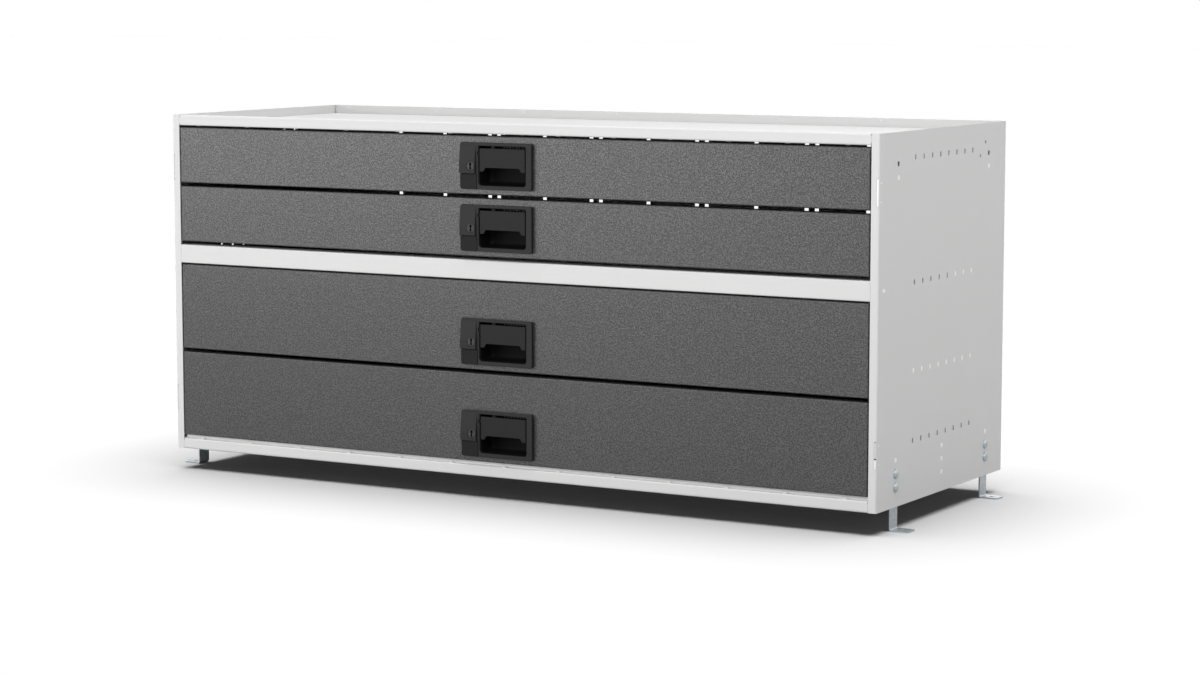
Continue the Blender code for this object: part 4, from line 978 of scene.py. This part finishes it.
PLUG_KINDS = (
    (plug(4.0, 6.8), PLUGGED_SLOTS),
    (plug(6.3, 6.3), PLUGGED_SQUARES),
    (plug(2.4, 2.4, 0.25, 1.1), PILOT_DOTS),
    (plug(6.0, 6.0, 0.6, 2.9), RIVET_DOT),
)
plug_meshes = []
for model, places in PLUG_KINDS:
    smooth_bends(model, MOULDED_BEND)
    for _, side in SIDES:
        points = [on_body(side * PANEL_FACE, y, z) for y, z in places]
        plug_meshes.append(on_side(model, side, points, PLUG_NYLON))
print("plugs and rivets:", len(SIDES) * sum(len(places) for _, places in PLUG_KINDS))

# %% [markdown]
# The side panels' front bends have long slots. On the right they hold a tab of sheet and two
# pale plugs, on the left they hold tabs alone, a little deeper.

# %% Tabs and plugs in the bends
BEND_INSIDE, BEND_OUTSIDE = 596.1, 598.7
FILLER_DEPTH = 1.9


def slot_filler(side, low, high, setback, rim):
    left, right = sorted((side * BEND_INSIDE, side * BEND_OUTSIDE))
    mesh = soft_block((left, setback, low), (right, setback + FILLER_DEPTH, high), rim)
    mesh.transform(Matrix.Translation(on_body(0, 0, 0)))
    return mesh


tab_meshes = [
    slot_filler(1, 76.0, 98.6, 0.12, 0.3),
    slot_filler(-1, 61.5, 99.2, 0.8, 0.3),
    slot_filler(-1, 421.5, 459.2, 0.8, 0.3),
]
plug_meshes += [slot_filler(1, 61.2, 74.0, 0.0, 0.4), slot_filler(1, 421.2, 459.4, 0.0, 0.4)]
add_piece("bend_slot_tabs", joined("bend_slot_tabs", tab_meshes), WHITE, "cabinet")
add_piece("hole_plugs", joined("hole_plugs", plug_meshes), PLUG_NYLON, "cabinet")
print("tabs in the bends:", len(tab_meshes))

# %% [markdown]
# ### Fold tabs and the base lip
# The top rail and the base rail are joined to the sheets behind them by small tabs that show as
# light ticks along their inner edges. A row tree makes them from a count and a pitch. Above the
# base rail the pan's edge stands up as a low lip, so that no gap shows below the last drawer.

# %% The tree that makes a row
def row_tree():
    inputs = {"Count": "Int", "Start": "Vector", "Pitch": "Vector", "Piece": "Object"}
    tree, given, out = geometry_tree("pieces_in_a_row", **inputs)
    line = tree.nodes.new("GeometryNodeMeshLine")
    for label, socket in (("Count", "Count"), ("Start", "Start Location"), ("Pitch", "Offset")):
        tree.links.new(given.outputs[label], line.inputs[socket])
    spread = repeat_piece(tree, given, line.outputs["Mesh"])
    end_tree(tree, given, out, spread.outputs["Instances"])
    return tree


PIECES_IN_A_ROW = row_tree()
print("tree pieces_in_a_row:", len(PIECES_IN_A_ROW.nodes), "nodes")

# %% Tabs on both rails, and the lip
TAB_PITCH = 92.0
TAB_COUNT = 13
TAB_HALF = 3.2
TAB_START = -TAB_PITCH * (TAB_COUNT - 1) / 2


def tab_row(low, high, height):
    """Equal tabs along a rail. Low and high are the tab's depth and height at its ends."""
    tab = soft_block((-TAB_HALF, *low), (TAB_HALF, *high), 0.2)
    start = tuple(on_body(TAB_START, 0, height))
    values = {"Count": TAB_COUNT, "Start": start, "Pitch": (TAB_PITCH * MM, 0, 0), "Finish": WHITE}
    return grow_with_model(PIECES_IN_A_ROW, tab, values)


under_top_rail = tab_row((2.5, -0.6), (4.2, 0.6), 504.5)
over_base_rail = tab_row((0.6, -0.6), (2.2, 1.8), 16.4)
base_lip = soft_block((-586.0, 5.5, 15.0), (586.0, 6.7, 21.5), 0.3)
base_lip.transform(Matrix.Translation(on_body(0, 0, 0)))
rail_trim = joined("rail_tabs_and_lip", [under_top_rail, over_base_rail, base_lip])
add_piece("rail_tabs_and_lip", rail_trim, WHITE, "cabinet")
print("tabs on the rails:", 2 * TAB_COUNT)

# %% [markdown]
# ### Return springs
# A small torsion spring in the gap above each paddle brings it back. Its coil is a spiral with
# a round wire swept along it, so turns, sizes and length are inputs of a tree.

# %% The coil tree
def coil_tree():
    tree, given, out = geometry_tree(
        "coil_spring", Turns="Float", Coil_Radius="Float", Wire_Radius="Float",
        Length="Float", Start="Vector",
    )
    spiral = set_up(tree, "GeometryNodeCurveSpiral", Resolution=14)
    wire = set_up(tree, "GeometryNodeCurvePrimitiveCircle", Resolution=6)
    sweep = set_up(tree, "GeometryNodeCurveToMesh", Fill_Caps=True)
    place = set_up(tree, "GeometryNodeTransform", Rotation=(0, math.pi / 2, 0))
    link = tree.links.new
    for label, node, socket in (
        ("Turns", spiral, "Rotations"), ("Length", spiral, "Height"),
        ("Coil Radius", spiral, "Start Radius"), ("Coil Radius", spiral, "End Radius"),
        ("Wire Radius", wire, "Radius"), ("Start", place, "Translation"),
    ):
        link(given.outputs[label], node.inputs[socket])
    link(spiral.outputs["Curve"], sweep.inputs["Curve"])
    link(wire.outputs["Curve"], sweep.inputs["Profile Curve"])
    link(sweep.outputs["Mesh"], place.inputs["Geometry"])
    end_tree(tree, given, out, place.outputs["Geometry"])
    return tree


COIL_SPRING = coil_tree()
WIRE_BEND = 60
SPRING_MESH = grow(COIL_SPRING, {
    "Turns": 7.0, "Coil Radius": 1.2 * MM, "Wire Radius": 0.5 * MM, "Length": 37.0 * MM,
    "Start": (2.0 * MM, 1.2 * MM, 69.5 * MM), "Finish": SPRING_STEEL,
})
SPRING = ("return_spring", SPRING_MESH, SPRING_STEEL, None)
fit_to_drawers("drawer", "zinc", SPRING, bend=WIRE_BEND, even=False)
print("springs:", len(DRAWERS), "of", len(SPRING_MESH.polygons), "faces")

# %% [markdown]
# ## Floor, light and camera
# The unit stands on a plain pale floor that fades into white. The sky is bright only overhead,
# which lights the tray and keeps everything below the body dark. Two softboxes stand in front:
# a low wide one on the left, whose reflection makes the upper drawers and their left ends a
# little lighter, and a higher one on the right, which reaches into the tray. Three weaker ones
# fill the sides and the back. All of these are kept off the floor by light linking, and the
# floor has a lamp of its own, so that its shadow stays clear. The floor shows the camera a
# lighter colour than the one that throws light up at the unit.

# %% The floor
def shows_background(tree):
    """One where a camera, glossy or transmission ray looks, and zero where light is gathered."""
    path = tree.nodes.new("ShaderNodeLightPath")
    seen = path.outputs["Is Camera Ray"]
    for label in ("Is Glossy Ray", "Is Transmission Ray"):
        either = set_up(tree, "ShaderNodeMath", {"operation": "MAXIMUM"})
        tree.links.new(seen, either.inputs[0])
        tree.links.new(path.outputs[label], either.inputs[1])
        seen = either.outputs[0]
    return seen


FLOOR_REACH = 30
FLOOR_GATHERED = (0.148, 0.16)
FLOOR_SHOWN = 0.264
FLOOR_GLOW = 0.021


def floor_material():
    material = bpy.data.materials.new("pale_floor")
    material.use_nodes = True
    tree = material.node_tree
    shader = tree.nodes["Principled BSDF"]
    shader.inputs["Roughness"].default_value = 0.9
    shader.inputs["Specular IOR Level"].default_value = 0.0
    place = tree.nodes.new("ShaderNodeTexCoord")
    noise = set_up(tree, "ShaderNodeTexNoise", Scale=3.0, Detail=2.0)
    tree.links.new(place.outputs["Object"], noise.inputs["Vector"])
    colour = shader.inputs["Base Color"]
    low, high = (grey(level) for level in FLOOR_GATHERED)
    gathered = colour_between(tree, noise.outputs["Fac"], low, high, colour)
    shown = colour_between(tree, shows_background(tree), low, grey(FLOOR_SHOWN), colour)
    tree.links.new(gathered.outputs[2], shown.inputs[6])
    range_between(tree, shows_background(tree), 0.0, FLOOR_GLOW, shader.inputs["Emission Strength"])
    return material


floor_mesh = bpy.data.meshes.new("floor")
floor_square = ((-1, -1), (1, -1), (1, 1), (-1, 1))
floor_corners = [(x * FLOOR_REACH, y * FLOOR_REACH, 0) for x, y in floor_square]
floor_mesh.from_pydata(floor_corners, [], [(0, 1, 2, 3)])
floor_mesh.materials.append(floor_material())
floor = put("floor", floor_mesh)
print("floor:", 2 * FLOOR_REACH, "m across")

# %% The sky
# Strength below and above the edge of the bright part, and where that edge lies.
SKY_LOW, SKY_HIGH = 0.06, 3.2
SKY_EDGE = (0.82, 0.9)


def sky():
    world = bpy.data.worlds.new("sky")
    SCENE.world = world
    world.use_nodes = True
    tree = world.node_tree
    background = tree.nodes["Background"]
    background.inputs["Color"].default_value = (1, 1, 1, 1)
    way = tree.nodes.new("ShaderNodeTexCoord")
    split = tree.nodes.new("ShaderNodeSeparateXYZ")
    height = set_up(
        tree, "ShaderNodeMapRange", {"interpolation_type": "SMOOTHSTEP"},
        From_Min=SKY_EDGE[0], From_Max=SKY_EDGE[1], To_Min=SKY_LOW, To_Max=SKY_HIGH,
    )
    link = tree.links.new
    link(way.outputs["Generated"], split.inputs["Vector"])
    link(split.outputs["Z"], height.inputs["Value"])
    level = set_up(tree, "ShaderNodeMix", {"data_type": "FLOAT"})
    level.inputs[3].default_value = 1.0
    link(shows_background(tree), level.inputs[0])
    link(height.outputs["Result"], level.inputs[2])
    link(level.outputs[0], background.inputs["Strength"])


sky()
print("sky strength:", SKY_LOW, "low,", SKY_HIGH, "overhead")

# %% The lamps
def lamp(name, kind, energy, place, aim, **settings):
    data = bpy.data.lights.new(name, kind)
    data.energy = energy
    for label, value in settings.items():
        setattr(data, label, value)
    light = put(name, data)
    light.location = place
    light.rotation_euler = (Vector(aim) - Vector(place)).to_track_quat("-Z", "Y").to_euler()
    light.visible_camera = False
    return light


def link_floor(light, state):
    """EXCLUDE keeps a lamp off the floor, INCLUDE makes it light the floor and nothing else."""
    reach = bpy.data.collections.new(f"{light.name}_reach")
    reach.objects.link(floor)
    light.light_linking.receiver_collection = reach
    reach.collection_objects[0].light_linking.link_state = state


FLOOR_SUN = 9.0
SUN_SPREAD = math.radians(56)
UNIT_FRONT = (0.0, -0.2, 0.3)
# Each softbox has a name, its watts, its place, what it aims at, and its width and height.
SOFTBOXES = (
    ("front_left", 22.5, (-1.15, -1.95, 0.58), UNIT_FRONT, 2.4, 0.52),
    ("front_right", 19.0, (1.0, -1.9, 1.3), UNIT_FRONT, 1.0, 0.5),
    ("right_fill", 13.5, (2.6, 0.6, 1.1), (0.6, 0.0, 0.3), 1.5, 0.8),
    ("left_fill", 12.0, (-2.6, 0.4, 1.1), (-0.6, 0.0, 0.3), 1.5, 0.8),
    ("back_fill", 14.0, (0.0, 2.6, 1.1), (0.0, 0.2, 0.3), 2.6, 0.8),
)
floor_light = lamp("floor_light", "SUN", FLOOR_SUN, (0, 0, 3), (0, 0, 0), angle=SUN_SPREAD)
link_floor(floor_light, "INCLUDE")
for name, watts, place, aim, width, tall in SOFTBOXES:
    softbox = lamp(name, "AREA", watts, place, aim, shape="RECTANGLE", size=width, size_y=tall)
    link_floor(softbox, "EXCLUDE")
print("lamps: one for the floor and", len(SOFTBOXES), "softboxes")

# %% The camera
LOOKS_DOWN = math.radians(6.675)
FROM_THE_RIGHT = math.radians(29.987)
camera_data = bpy.data.cameras.new("camera")
camera_data.lens = 90.66
camera_data.sensor_width = 36.0
camera_data.clip_end = 200.0
camera = put("camera", camera_data)
camera.location = (2.3134, -3.9429, 0.7539)
camera.rotation_euler = (math.pi / 2 - LOOKS_DOWN, 0, FROM_THE_RIGHT)
SCENE.camera = camera
SCENE.view_settings.view_transform = "Standard"
print("camera at", tuple(round(value, 3) for value in camera.location))

# %% [markdown]
# ## The end
# The view layer is brought up to date.

# %% The end
bpy.context.view_layer.update()
